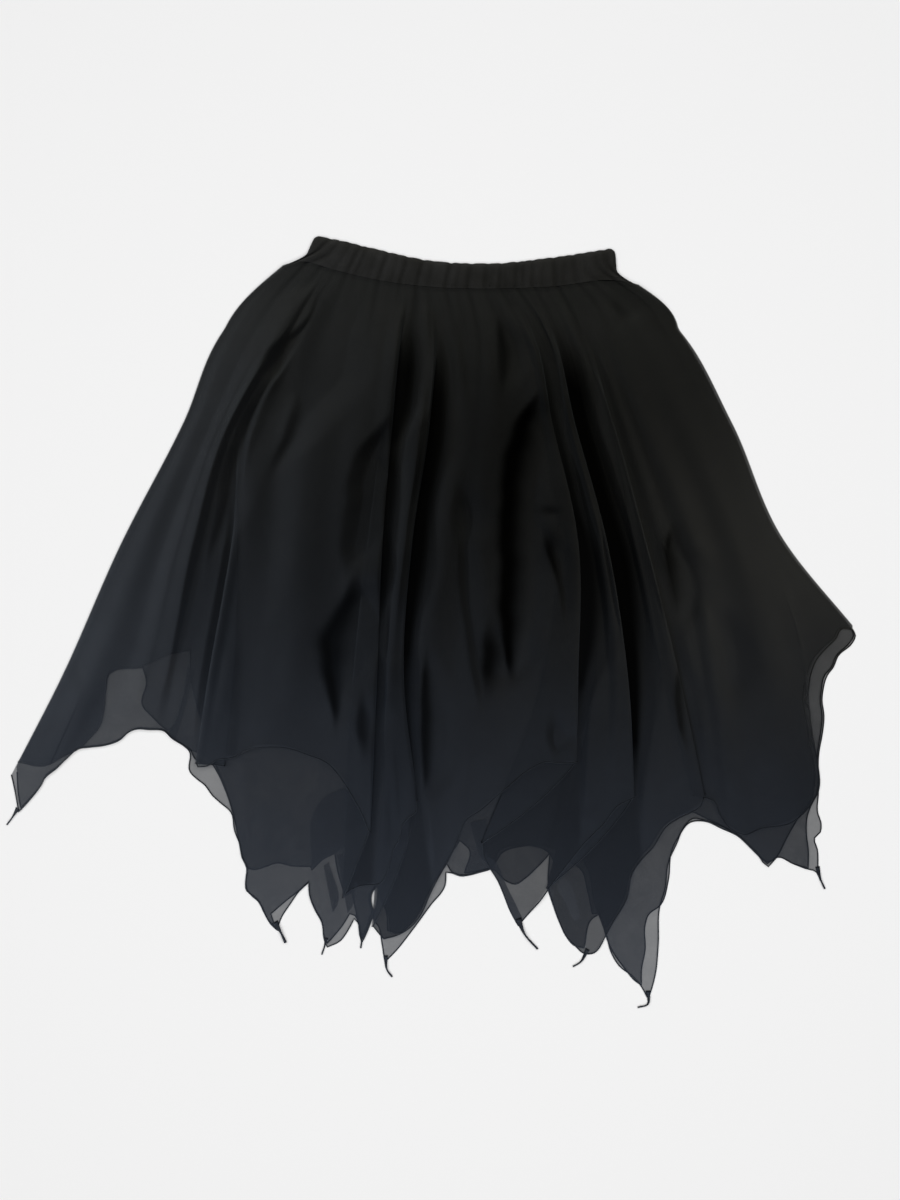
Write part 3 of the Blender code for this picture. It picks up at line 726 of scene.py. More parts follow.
def line_x(row: Row, y: np.ndarray) -> np.ndarray:
    """x of a line, or of a fold's edge.

    Args:
        row: The line or fold.
        y: Heights on the cloth, in metres.

    Returns:
        x there.
    """
    top = float(band_edge(row.waist * MM))
    knots = [(top, row.waist * MM)]
    for station, x in zip(STATIONS, (row.high, row.upper, row.middle, row.low)):
        if x is not None:
            knots.append((station * MM, x * MM))
    knots.append((row.hem_y * MM, row.hem_x * MM))
    down = np.clip((top - y) / (top - STATIONS[0] * MM), 0.0, 1.0)
    bow = SHOULDER_BOW * (row.high / SIDE_REACH) ** 3 * np.sin(math.pi * down)
    return curve_through(knots, y) + bow


def rolled_share(fold: Fold, y: np.ndarray) -> np.ndarray:
    """How far a fold's edge has rolled under, from the waist down.

    Args:
        fold: The fold.
        y: Heights on the cloth.

    Returns:
        0 above the fold's start, 1 below the place where it is fully rolled.
    """
    return eased((fold.starts * MM - y) / ((fold.starts - fold.rolled) * MM))


def inside_polygon(x: np.ndarray, y: np.ndarray, polygon: np.ndarray) -> np.ndarray:
    """Which places lie inside an outline.

    Args:
        x: Places' x.
        y: Places' y.
        polygon: The outline's corners, (n, 2).

    Returns:
        True for each place inside.
    """
    inside = np.zeros(x.shape, bool)
    for (x0, y0), (x1, y1) in zip(polygon, np.roll(polygon, -1, axis=0)):
        if y0 == y1:
            continue
        crosses = (y0 > y) != (y1 > y)
        inside ^= crosses & (x < (x1 - x0) * (y - y0) / (y1 - y0) + x0)
    return inside


def mesh_object(
    name: str, points: np.ndarray, faces: Sequence[Sequence[int]], material: bpy.types.Material,
) -> bpy.types.Object:
    """A smooth mesh piece.

    Args:
        name: The piece's name.
        points: (n, 3) places in metres.
        faces: Corner numbers of each face.
        material: Its material.

    Returns:
        The linked object.
    """
    mesh = bpy.data.meshes.new(name)
    mesh.from_pydata(np.asarray(points).tolist(), [], faces)
    mesh.shade_smooth()
    mesh.materials.append(material)
    obj = bpy.data.objects.new(name, mesh)
    bpy.context.scene.collection.objects.link(obj)
    return obj


def set_painted_shade(piece: bpy.types.Object, depth: np.ndarray) -> None:
    """Tells the material how dark the painted shade at each point is.

    Args:
        piece: The cloth.
        depth: How dark the painted shade is, 0 to 1 for each of its points.
    """
    values = piece.data.attributes.new(PAINTED_SHADE_NAME, "FLOAT", "POINT").data
    values.foreach_set("value", depth.ravel())


def cloth_area(piece: bpy.types.Object) -> float:
    """Area of a cloth.

    Args:
        piece: The cloth.

    Returns:
        The sum of its faces, in square metres.
    """
    return sum(polygon.area for polygon in piece.data.polygons)


def grid_faces(columns: int, rows: int) -> list[tuple[int, int, int, int]]:
    """Faces of a grid of points.

    Args:
        columns: Count of columns.
        rows: Points in each column.

    Returns:
        Corner numbers of each square.
    """
    faces = []
    for column in range(columns - 1):
        for row in range(rows - 1):
            corner = column * rows + row
            faces.append((corner, corner + 1, corner + rows + 1, corner + rows))
    return faces


def ring_faces(rings: int, sides: int, first: int) -> list[tuple[int, ...]]:
    """Faces round a row of rings, closed at both ends.

    Args:
        rings: Count of rings.
        sides: Points in each ring.
        first: Number of the first point in the mesh that takes them.

    Returns:
        Corner numbers of each face.
    """
    faces = []
    for ring in range(rings - 1):
        for turn in range(sides):
            near, far = ring * sides + turn, ring * sides + (turn + 1) % sides
            faces.append(tuple(first + n for n in (near, far, far + sides, near + sides)))
    last = first + (rings - 1) * sides
    faces.append(tuple(first + n for n in reversed(range(sides))))
    faces.append(tuple(last + n for n in range(sides)))
    return faces


def tube(path: np.ndarray, radius: float, sides: int, first: int) -> tuple[list, list]:
    """A round tube along a path.

    Args:
        path: (n, 3) places.
        radius: The tube's radius.
        sides: Count of its sides.
        first: Number of its first point in the mesh that takes it.

    Returns:
        Points and faces.
    """
    heading = np.gradient(path, axis=0)
    heading /= np.maximum(np.linalg.norm(heading, axis=1), 1e-9)[:, None]
    side = np.cross(heading, (0.0, 0.0, 1.0))
    side /= np.maximum(np.linalg.norm(side, axis=1), 1e-9)[:, None]
    over = np.cross(side, heading)
    angles = [2 * math.pi * turn / sides for turn in range(sides)]
    rings = [path + radius * (math.cos(angle) * side + math.sin(angle) * over) for angle in angles]
    points = np.stack(rings, axis=1).reshape(-1, 3)
    return points.tolist(), ring_faces(len(path), sides, first)


# Where along a crease its bow may peak, and how fast it rises from its ends
CREASE_PEAK = (0.25, 0.75)
CREASE_RISE = 1.6


def crease_lift(x: np.ndarray, y: np.ndarray, creases: Sequence[Crease]) -> np.ndarray:
    """Height that the creases add.

    Args:
        x: Places' x.
        y: Places' y.
        creases: The creases.

    Returns:
        The added height there.
    """
    lift = np.zeros_like(x)
    for row in creases:
        top, middle, low = (
            np.array(pair) * MM
            for pair in ((row.x_top, row.y_top), (row.x_mid, row.y_mid), (row.x_low, row.y_low))
        )
        run = low - top
        size = float(np.hypot(*run))
        along_dir = run / size
        across_dir = np.array([-along_dir[1], along_dir[0]])
        along = ((x - top[0]) * along_dir[0] + (y - top[1]) * along_dir[1]) / size
        across = (x - top[0]) * across_dir[0] + (y - top[1]) * across_dir[1]
        bow = float((middle - top) @ across_dir)
        peak = float(np.clip((middle - top) @ along_dir / size, *CREASE_PEAK))
        shape = np.where(along < peak, along / peak, (1 - along) / (1 - peak))
        bent = np.clip(shape, 0, 1)
        off = (across - bow * bent * (2 - bent)) / (row.width * MM)
        lift += row.height * MM * eased(CREASE_RISE * shape) * np.exp(-off * off)
    return lift


@dataclass(frozen=True)
class ValleyForm:
    """How a valley is made: a short fall to the right and a slow rise after it, with painted shade
    in it.

    Lengths are in metres; the shares are of the valley's width, from its left edge.
    """

    slope: float = 0.56
    rise_run: float = 2.6
    # The edge wavers in a long and a short wave, shifted by the valley's own place
    wobble: float = 0.035
    waves: tuple[float, float] = (88.0, 190.0)
    short_share: float = 0.7
    shifts: tuple[float, float] = (300.0, 2.0)
    past_end: float = 0.014
    end_ramp: float = 0.042
    # Where the painted dark core starts and stops, each with the length of its ramp
    dark_from: tuple[float, float] = (-0.3, 0.6)
    dark_until: tuple[float, float] = (0.45, 1.15)

    def edge_wave(self, y: np.ndarray, first: Knot) -> np.ndarray:
        """Slight waver of a valley's edge.

        Args:
            y: Places' y.
            first: The valley's top knot, which shifts the waves.

        Returns:
            The waver there, for a width of 1.
        """
        slow = np.sin(self.waves[0] * y + self.shifts[0] * first.x * MM)
        quick = np.sin(self.waves[1] * y + self.shifts[1])
        return self.wobble * (slow + self.short_share * quick)

    def press(
        self, x: np.ndarray, y: np.ndarray, valleys: Sequence[Shade],
    ) -> tuple[np.ndarray, np.ndarray]:
        """Form of the valleys.

        Args:
            x: Places' x.
            y: Places' y.
            valleys: The valleys.

        Returns:
            The change of height, and how dark the painted shade in a valley is at each place, 0 to
            1.
        """
        lift, depth = np.zeros_like(x), np.zeros_like(x)
        for dark, knots in valleys:
            top, low = knots[0].y * MM, knots[-1].y * MM
            at = np.clip(y, low, top)
            edge = curve_through([(knot.y * MM, knot.x * MM) for knot in knots], at)
            wide = curve_through([(knot.y * MM, knot.wide * MM) for knot in knots], at)
            wide = np.maximum(wide, LEAST_WIDTH)
            share = (x - edge) / wide - self.edge_wave(y, knots[0])
            ends = eased((top + self.past_end - y) / self.end_ramp)
            ends = ends * eased((y - low + self.past_end) / self.end_ramp)
            lift -= self.slope * wide * ends * (eased(share) - eased((share - 1) / self.rise_run))
            core = eased((share - self.dark_from[0]) / self.dark_from[1])
            core = core * (1.0 - eased((share - self.dark_until[0]) / self.dark_until[1]))
            depth = np.maximum(depth, dark * ends * np.minimum(wide / DARK_WIDTH, 1.0) * core)
        return lift, depth


@dataclass
class Ground:
    """How high each cloth lies, from how many cloths lie under it.

    It keeps a map for each cloth, 1 where the cloth lies and softened at its edges.
    """

    pitch: float = 0.005
    reach: int = 4
    passes: int = 3
    low: tuple[float, float] = (-0.52, -0.47)
    size: tuple[int, int] = (208, 186)
    layers: list[np.ndarray] = field(default_factory=list)

    def cover(self, outline: np.ndarray) -> None:
        """Adds a cloth on top of the stack.

        Args:
            outline: Its outline, (n, 2).
        """
        columns, rows = self.size
        x, y = np.meshgrid(
            self.low[0] + self.pitch * np.arange(columns),
            self.low[1] + self.pitch * np.arange(rows),
            indexing="ij",
        )
        mask = inside_polygon(x, y, outline).astype(float)
        for _ in range(self.passes):
            for axis in (0, 1):
                shifts = range(-self.reach, self.reach + 1)
                mask = sum(np.roll(mask, shift, axis) for shift in shifts) / len(shifts)
        self.layers.append(mask)

    def height(self, x: np.ndarray, y: np.ndarray, below: int) -> np.ndarray:
        """Level of a cloth's middle.

        Args:
            x: Places' x.
            y: Places' y.
            below: How many cloths of the stack lie below it.

        Returns:
            z there.
        """
        stack = sum(self.layers[:below], np.zeros(self.size))
        i = np.clip((x - self.low[0]) / self.pitch, 0, self.size[0] - 1.001)
        j = np.clip((y - self.low[1]) / self.pitch, 0, self.size[1] - 1.001)
        left, low = i.astype(int), j.astype(int)
        u, v = i - left, j - low
        near = mixed(stack[left, low], stack[left + 1, low], u)
        far = mixed(stack[left, low + 1], stack[left + 1, low + 1], u)
        return FLOOR_CLEARANCE + LAYER * mixed(near, far, v)


def pucker_depth(
    x: np.ndarray, lean: np.ndarray, spread: float, each: Optional[np.ndarray] = None,
) -> np.ndarray:
    """How deep the elastic draws the cloth in.

    Args:
        x: Places along the band.
        lean: How much of each pucker's lean applies there.
        spread: Half width of a pucker.
        each: A share for each place and pucker.

    Returns:
        The depth in metres.
    """
    drawn = np.zeros(np.broadcast(x, lean).shape)
    for index, row in enumerate(PUCKERS):
        off = (x - (row.x + row.lean * lean) * MM) / spread
        share = 1.0 if each is None else each[index]
        drawn = drawn + row.depth * MM * np.exp(-off * off) * share
    return drawn


@dataclass
class Cloth:
    """What every tier has: its material, its hem and its thin tails."""

    tier: Tier
    name: str
    node: str
    cloth: bpy.types.Material
    hem_finish: bpy.types.Material
    tails: Sequence[Tail]
    hem_radius: float = 0.00065
    hem_sides: int = 6
    tail_steps: int = 14
    tail_sides: int = 10
    tail_twist: float = 2.4
    tail_taper: float = 0.7
    # Thickness of a tail at its root, in mm
    tail_root: float = 1.5
    # An opened sheet is at least this many times as wide as its area over its length
    least_spread: float = 1.6

    def tail_mesh(self, tail: Tail, level: float, first: int) -> tuple[list, list]:
        """A thin twisted end of cloth.

        Args:
            tail: Its places and widths.
            level: z of its root.
            first: Number of its first point.

        Returns:
            Points and faces.
        """
        knots = np.array([
            (tail.x_root, tail.y_root), (tail.x_mid, tail.y_mid), (tail.x_end, tail.y_end),
        ]) * MM
        share = np.linspace(0, 1, self.tail_steps)
        path = np.stack([
            curve_through(list(zip((0.0, 0.5, 1.0), knots[:, axis])), share) for axis in (0, 1)
        ], axis=1)
        heading = np.gradient(path, axis=0)
        heading /= np.linalg.norm(heading, axis=1)[:, None]
        side = np.stack([-heading[:, 1], heading[:, 0]], axis=1)
        half = 0.5 * MM * mixed(tail.wide, tail.thin, share ** self.tail_taper)
        thick = 0.5 * MM * mixed(self.tail_root, tail.thin, share)
        points = []
        for step in range(self.tail_steps):
            spin = self.tail_twist * share[step]
            lowest = half[step] * abs(math.sin(spin))
            centre_z = max(level * (1 - share[step]), lowest) + thick[step]
            for turn in range(self.tail_sides):
                angle = 2 * math.pi * turn / self.tail_sides
                flat = half[step] * math.cos(angle)
                up = thick[step] * math.sin(angle)
                across = flat * math.cos(spin) - up * math.sin(spin)
                rise = flat * math.sin(spin) + up * math.cos(spin)
                x, y = path[step] + side[step] * across
                points.append((float(x), float(y), float(centre_z + rise)))
        return points, ring_faces(self.tail_steps, self.tail_sides, first)

    def build_hem(self, edge: np.ndarray) -> bpy.types.Object:
        """The rolled hem and the tails.

        Args:
            edge: The cloth's hem edge, (n, 3).

        Returns:
            The hem piece.
        """
        path = edge.copy()
        path[:, 2] = np.maximum(path[:, 2], self.hem_radius)
        points, faces = tube(path, self.hem_radius, self.hem_sides, 0)
        for tail in self.tails:
            more, sides = self.tail_mesh(tail, self.hem_radius, len(points))
            points += more
            faces += sides
        return mesh_object(f"{self.name}_rolled_hem", np.array(points), faces, self.hem_finish)

    def declare(
        self, sheet: bpy.types.Object, hem: bpy.types.Object, rests_on: Sequence[str],
    ) -> None:
        """Attaches the pieces to the root body, hides the CAD part they stand for and logs the
        cloth's size.

        Args:
            sheet: The cloth.
            hem: Its rolled hem.
            rests_on: What it lies on; not used.
        """
        for piece in (sheet, hem):
            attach(piece, "root")
        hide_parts(self.node)
        area = cloth_area(sheet)
        width, length = np.ptp([corner[:2] for corner in sheet.bound_box], axis=0).tolist()
        width = max(width, self.least_spread * area / length)
        log.info("%s: %d faces, %.3f m2", sheet.name, len(sheet.data.polygons), area)


@dataclass
class UpperTier(Cloth):
    """The top cloth in front, which folds over itself in six laps."""

    ground: Ground = field(default_factory=Ground)
    valley: ValleyForm = ValleyForm()
    rows: int = 120
    crowding: float = 1.15
    hem_spacing: float = 0.0034
    arc_steps: int = 7
    tuck_steps: int = 6
    # Puckers below the waist: their reach down the cloth and its least and most share
    pucker_reach: float = 0.045
    pucker_reaches: tuple[float, float] = (0.35, 1.9)
    pucker_seed: int = 5
    pucker_spread: float = 0.0030
    # Painted shade in the puckers' grooves, for each metre of their depth
    pucker_shade: float = 260.0
    # The cloth comes out of the casing at this height and keeps to it for this far
    waist_level: float = 0.0057
    waist_run: float = 0.05
    # Folds: radii in metres, and the angle of an edge that hasn't rolled yet
    least_angle: float = 0.02
    turn_radius: float = 0.0013
    waist_loft: float = 0.0008
    hem_loft: float = 0.0014
    loft_fade: float = 0.11
    ride_ramp: float = 0.018
    least_tuck: float = 0.0006
    # A column's end is drawn to its hem point over this height
    hem_reach: float = 0.07
    # Share of even spacing that is mixed into a panel's columns
    evenness: float = 0.04
    # How much all rises are raised, and what stays of them at least where all is pressed
    relief: float = 1.25
    least_rise: float = 0.25
    # The puff of the whole cloth, and how far from waist, hem and sides it is full
    billow: float = 0.0064
    billow_runs: tuple[float, float, float] = (0.11, 0.1, 0.06)
    # Below the casing's seam the cloth is free to rise from here on, over this far
    seam_held: float = 0.004
    seam_run: float = 0.03
    # The strip beside a fold: how it frees the cloth and how its painted shade fades, in widths and
    # metres
    free_run: tuple[float, float] = (1.3, 0.004)
    shade_run: tuple[float, float] = (1.15, 0.002)

    def line_rise(self, row: Line, y: np.ndarray) -> np.ndarray:
        """Height of a line above the cloth below.

        Args:
            row: The line.
            y: Heights on the cloth.

        Returns:
            Its rise there.
        """
        knots = [
            (float(band_edge(row.waist * MM)), 0.0),
            (STATIONS[1] * MM, row.rise_top * MM),
            (0.5 * (STATIONS[2] + STATIONS[3]) * MM, row.rise_mid * MM),
            (min(row.hem_y, STATIONS[3] - 25) * MM, row.rise_hem * MM),
        ]
        return self.relief * np.maximum(curve_through(knots, y), 0.0)

    def roll(self, fold: Fold, y: np.ndarray) -> tuple[np.ndarray, np.ndarray, np.ndarray]:
        """How far a fold's edge has rolled.

        Args:
            fold: The fold.
            y: Heights on the cloth.

        Returns:
            Its angle, and the radii of its upper and lower turn.
        """
        rolled = rolled_share(fold, y)
        angle = mixed(self.least_angle, math.pi, rolled)
        near_hem = eased((y - fold.hem_y * MM) / self.loft_fade)
        top = self.hem_loft + (fold.loft * MM - self.hem_loft) * near_hem
        loft = self.waist_loft + (top - self.waist_loft) * rolled
        turn = self.waist_loft + (self.turn_radius - self.waist_loft) * rolled
        return angle, math.pi * loft / angle, math.pi * turn / angle

    def tuck(self, fold: Fold, y: np.ndarray) -> np.ndarray:
        """How far the cloth runs back under a fold's edge.

        Args:
            fold: The fold.
            y: Heights on the cloth.

        Returns:
            The tuck there.
        """
        hem_tuck = abs(float(line_x(fold, fold.turn_y * MM)) - fold.turn_x * MM)
        knots = [(fold.rolled * MM, 0.0)]
        for station, size in zip(STATIONS[1:], (fold.tuck_upper, fold.tuck_middle, fold.tuck_low)):
            if station < fold.rolled - 20:
                knots.append((station * MM, size * MM))
        knots.append((fold.turn_y * MM, hem_tuck))
        run = np.maximum(curve_through(knots, y), self.least_tuck)
        return np.where(y > fold.rolled * MM, self.least_tuck, run)

    def start(self, fold: Fold, y: np.ndarray) -> np.ndarray:
        """Where the level cloth meets a fold's roll.

        Args:
            fold: The fold.
            y: Heights on the cloth.

        Returns:
            x there.
        """
        angle, loft, _ = self.roll(fold, y)
        return line_x(fold, y) - fold.side * loft * np.sin(np.minimum(angle, math.pi / 2))

    def drop(self, fold: Fold, y: np.ndarray) -> np.ndarray:
        """How far a fold takes the cloth down.

        Args:
            fold: The fold.
            y: Heights on the cloth.

        Returns:
            The drop there.
        """
        angle, loft, turn = self.roll(fold, y)
        return (loft + turn) * (1 - np.cos(angle))

    def fold_place(
        self, fold: Fold, kind: str, share: float, y: np.ndarray,
    ) -> tuple[np.ndarray, np.ndarray]:
        """Place of a column in a fold.

        Args:
            fold: The fold.
            kind: "roll", "tuck" or "turn".
            share: How far it is through that stretch.
            y: Heights on the cloth.

        Returns:
            x and z there.
        """
        angle, loft, turn = self.roll(fold, y)
        gone = {"roll": share * angle, "turn": (1 - share) * angle}.get(kind, angle)
        if kind == "roll":
            along = loft * np.sin(gone)
            down = loft * (1 - np.cos(gone))
        else:
            run = self.tuck(fold, y) * (share if kind == "tuck" else 1.0)
            along = loft * np.sin(angle) + run * np.cos(angle)
            down = loft * (1 - np.cos(angle)) + run * np.sin(angle)
        if kind == "turn":
            along = along + turn * (np.sin(angle) - np.sin(gone))
            down = down + turn * (np.cos(gone) - np.cos(angle))
        x = self.start(fold, y) + fold.side * along
        return x, self.drop(fold, y) - down

    def ride(self, fold: Fold, x: np.ndarray, y: np.ndarray) -> np.ndarray:
        """Least rise of a panel where its fold's tuck lies under it.

        Args:
            fold: The fold.
            x: Places' x.
            y: Places' y.

        Returns:
            The least rise there.
        """
        angle, _, turn = self.roll(fold, y)
        # Over the last radian of its roll the cloth comes to lie on its tuck
        rolled = eased(angle - (math.pi - 1.0))
        reach = self.start(fold, y) - fold.side * (self.tuck(fold, y) + turn)
        over = eased((fold.side * (x - reach) + self.ride_ramp) / self.ride_ramp)
        return over * rolled * (2 * self.turn_radius + LAYER)

    def row_place(
        self, row: Row, y: np.ndarray, leaving: bool,
    ) -> tuple[np.ndarray, np.ndarray]:
        """Place of a line, or of the panel's end at a fold.

        Args:
            row: The line or fold.
            y: Heights on the cloth.
            leaving: True where the panel lies to the right of the row.

        Returns:
            x and rise there.
        """
        if not isinstance(row, Fold):
            return line_x(row, y), self.line_rise(row, y)
        if leaving == (row.side > 0):
            angle, loft, turn = self.roll(row, y)
            along = (loft + turn) * np.sin(angle) + self.tuck(row, y) * np.cos(angle)
            return self.start(row, y) + row.side * along, np.zeros_like(y)
        return self.start(row, y), self.drop(row, y)

    def column_shares(
        self, rows: Sequence[Row], leaving: Sequence[bool], hem: np.ndarray,
    ) -> np.ndarray:
        """Where each point of a panel's hem lies among the panel's rows.

        Args:
            rows: The rows, from left to right.
            leaving: Whether the panel lies to the right of each of them.
            hem: The hem's points, (n, 2).

        Returns:
            The number of the row on its left and a share of the way to the next, for
            each point, rising from 0.
        """
        across = np.array([
            self.row_place(row, hem[:, 1], left)[0] for row, left in zip(rows, leaving)
        ])
        # Rows that meet are kept a hair apart, so that each place has one share
        across = np.maximum.accumulate(across, axis=0) + 1e-6 * np.arange(len(rows))[:, None]
        order = np.arange(len(rows), dtype=float)
        share = np.array([np.interp(x, across[:, i], order) for i, x in enumerate(hem[:, 0])])
        share[0], share[-1] = 0.0, order[-1]
        share = np.minimum.accumulate(np.maximum.accumulate(share)[::-1])[::-1]
        return mixed(share, np.linspace(0.0, order[-1], len(share)), self.evenness)

    def panel_columns(
        self, lines: Sequence[Line], hem: Sequence[Spot],
        before: Optional[Fold], after: Optional[Fold],
    ) -> list:
        """Columns of one panel, a column for each point of its hem.

        Args:
            lines: The panel's lines, from left to right.
            hem: The hem between its two ends.
            before: The fold on its left.
            after: The fold on its right.

        Returns:
            (points, freedom, painted shade) of each column.
        """
        rows = [row for row in (before, *lines, after) if row is not None]
        leaving = [row is before or not isinstance(row, Fold) for row in rows]
        ends = []
        for row, left in ((rows[0], True), (rows[-1], False)):
            lower = isinstance(row, Fold) and left == (row.side > 0)
            end_y = np.array([(row.turn_y if lower else row.hem_y) * MM])
            ends.append((float(self.row_place(row, end_y, left)[0][0]), float(end_y[0])))
        path = smooth_path(np.vstack([ends[:1], metres(hem), ends[1:]]), self.hem_spacing)
        columns = []
        for (hem_x, hem_y), where in zip(path, self.column_shares(rows, leaving, path)):
            at = min(int(where), len(rows) - 2)
            part = where - at
            waist = mixed(rows[at].waist, rows[at + 1].waist, part) * MM
            y = self.heights(waist, hem_y)
            x_left, z_left = self.row_place(rows[at], y, leaving[at])
            x_right, z_right = self.row_place(rows[at + 1], y, leaving[at + 1])
            x = mixed(x_left, x_right, part)
            near = np.clip(1 - (y - hem_y) / self.hem_reach, 0.0, 1.0)
            x = x + (hem_x - x[-1]) * eased(near)
            z = mixed(z_left, z_right, float(eased(part)))
            for fold, on_top in ((before, -1), (after, 1)):
                if fold is not None and fold.side == on_top:
                    z = np.maximum(z, self.ride(fold, x, y))
            columns.append((np.stack([x, y, z], axis=1), *self.openness(before, after, x, y)))
        return columns

    def openness(
        self, before: Optional[Fold], after: Optional[Fold], x: np.ndarray, y: np.ndarray,
    ) -> tuple[np.ndarray, np.ndarray]:
        """How far a panel is free to rise, which it isn't in the shade of a fold, and how dark that
        shade is painted.

        Args:
            before: The fold on its left.
            after: The fold on its right.
            x: Places' x.
            y: Places' y.

        Returns:
            Its freedom and how dark its painted shade is, each 0 to 1 for each place.
        """
        free, depth = np.ones_like(y), np.zeros_like(y)
        for fold, on_top in ((before, -1), (after, 1)):
            if fold is None or fold.side == on_top:
                continue
            dark, points = FOLD_SHADES[fold.name]
            shade = [(height * MM, wide * MM) for height, wide in points]
            wide = curve_through(shade, np.clip(y, shade[-1][0], shade[0][0]))
            wide = np.maximum(wide, LEAST_WIDTH)
            past = fold.side * (x - line_x(fold, y)) - wide
            rolled = rolled_share(fold, y)
            ramp, least = self.free_run
            free = free * mixed(1.0, eased(past / (ramp * wide + least)), rolled)
            ramp, least = self.shade_run
            core = 1.0 - eased((past + 0.5 * wide) / (ramp * wide + least))
            depth = np.maximum(depth, dark * rolled * np.minimum(wide / DARK_WIDTH, 1.0) * core)
        return free, depth

    def heights(self, waist: float, hem_y: float) -> np.ndarray:
        """Heights of a column's points.

        Args:
            waist: x where it meets the band.
            hem_y: y of its hem.

        Returns:
            y of each point.
        """
        top = float(band_edge(waist)) - SEAM_GAP
        return top + (hem_y - top) * np.linspace(0.0, 1.0, self.rows) ** self.crowding

    def fold_columns(self, fold: Fold) -> list:
        """Columns round a fold.

        Args:
            fold: The fold.

        Returns:
            (points, freedom, painted shade) of each column.
        """
        stretches = [("roll", step / self.arc_steps) for step in range(1, self.arc_steps + 1)]
        stretches += [("tuck", step / self.tuck_steps) for step in range(1, self.tuck_steps)]
        stretches += [("turn", step / self.arc_steps) for step in range(self.arc_steps)]
        columns = []
        for kind, share in stretches:
            end = {"roll": 0.0, "turn": 1.0}.get(kind, share)
            y = self.heights(fold.waist * MM, mixed(fold.hem_y, fold.turn_y, end) * MM)
            x, z = self.fold_place(fold, kind, share, y)
            rolled = rolled_share(fold, y)
            held = 0.5 + 0.5 * math.cos(math.pi * share) if kind == "roll" else 0.0
            free = mixed(1.0, held, rolled)
            columns.append((np.stack([x, y, z], axis=1), free, np.zeros_like(y)))
        return columns if fold.side > 0 else columns[::-1]

    def grid(self) -> tuple[np.ndarray, np.ndarray]:
        """Points of the cloth.

        Returns:
            (columns, rows, 3) places, and how dark each place's painted shade is, 0 to 1.
        """
        columns = []
        hems = iter(PANEL_HEMS)
        for index, part in enumerate(FRONT_UPPER):
            if isinstance(part, Fold):
                columns += self.fold_columns(part)
                continue
            before = FRONT_UPPER[index - 1] if index else None
            after = FRONT_UPPER[index + 1] if index + 1 < len(FRONT_UPPER) else None
            columns += self.panel_columns(part, next(hems), before, after)
        grid, factor, shade = (np.array(part) for part in zip(*columns))
        x, y, rise = grid[..., 0], grid[..., 1], grid[..., 2]
        below = np.maximum(y[:, :1] - y, 0.0)
        free = eased((below - self.seam_held) / self.seam_run)
        inside = np.minimum(x - line_x(WING[0], y), line_x(RIGHT_PANEL[-1], y) - x)
        lift = np.full_like(x, self.billow)
        for distance, run in zip((below, y - y[:, -1:], inside), self.billow_runs):
            lift *= eased(distance / run)
        fall, depth = self.valley.press(x, y, VALLEYS)
        lift += fall + self.relief * crease_lift(x, y, UPPER_CREASES)
        z = self.ground.height(x, y, self.tier.value)
        z = z + np.maximum(rise + lift * factor * free, self.least_rise * rise)
        drawn = self.drawn_in(x, below)
        z = mixed(np.maximum(z, self.waist_level), z, eased(below / self.waist_run))
        z = z - SEWN_DEPTH * drawn
        # Patches of painted shade, with no change of form
        for row in PAINTED_SHADE_PATCHES:
            off = np.hypot((x - row.x * MM) / (row.wide * MM), (y - row.y * MM) / (row.tall * MM))
            depth = mixed(depth, 1.0, row.dark * np.exp(-off * off))
        depth = np.maximum(shade, depth * factor) * free
        # The puckers' grooves get painted shade too
        return np.stack([x, y, z], axis=2), np.minimum(depth + self.pucker_shade * drawn, 1.0)

    def drawn_in(self, x: np.ndarray, below: np.ndarray) -> np.ndarray:
        """How deep the elastic's puckers run on below the casing.

        Args:
            x: Places' x, (columns, rows).
            below: How far below the waist each place lies.

        Returns:
            The depth there.
        """
        random = np.random.default_rng(self.pucker_seed)
        reach = random.uniform(*self.pucker_reaches, len(PUCKERS)) * self.pucker_reach
        fade = np.exp(-below[None] / reach[:, None, None])
        waist_x = np.broadcast_to(x[:, :1], x.shape)
        return pucker_depth(waist_x, np.ones_like(x), self.pucker_spread, fade)

    def build(self) -> bpy.types.Object:
        """Builds the cloth and its hem.

        Returns:
            The cloth.
        """
        grid, depth = self.grid()
        faces = grid_faces(*grid.shape[:2])
        sheet = mesh_object(self.name, grid.reshape(-1, 3), faces, self.cloth)
        set_painted_shade(sheet, depth)
        hem = self.build_hem(grid[:, -1])
        self.declare(sheet, hem, [LIES_ON[self.tier]])
        return sheet


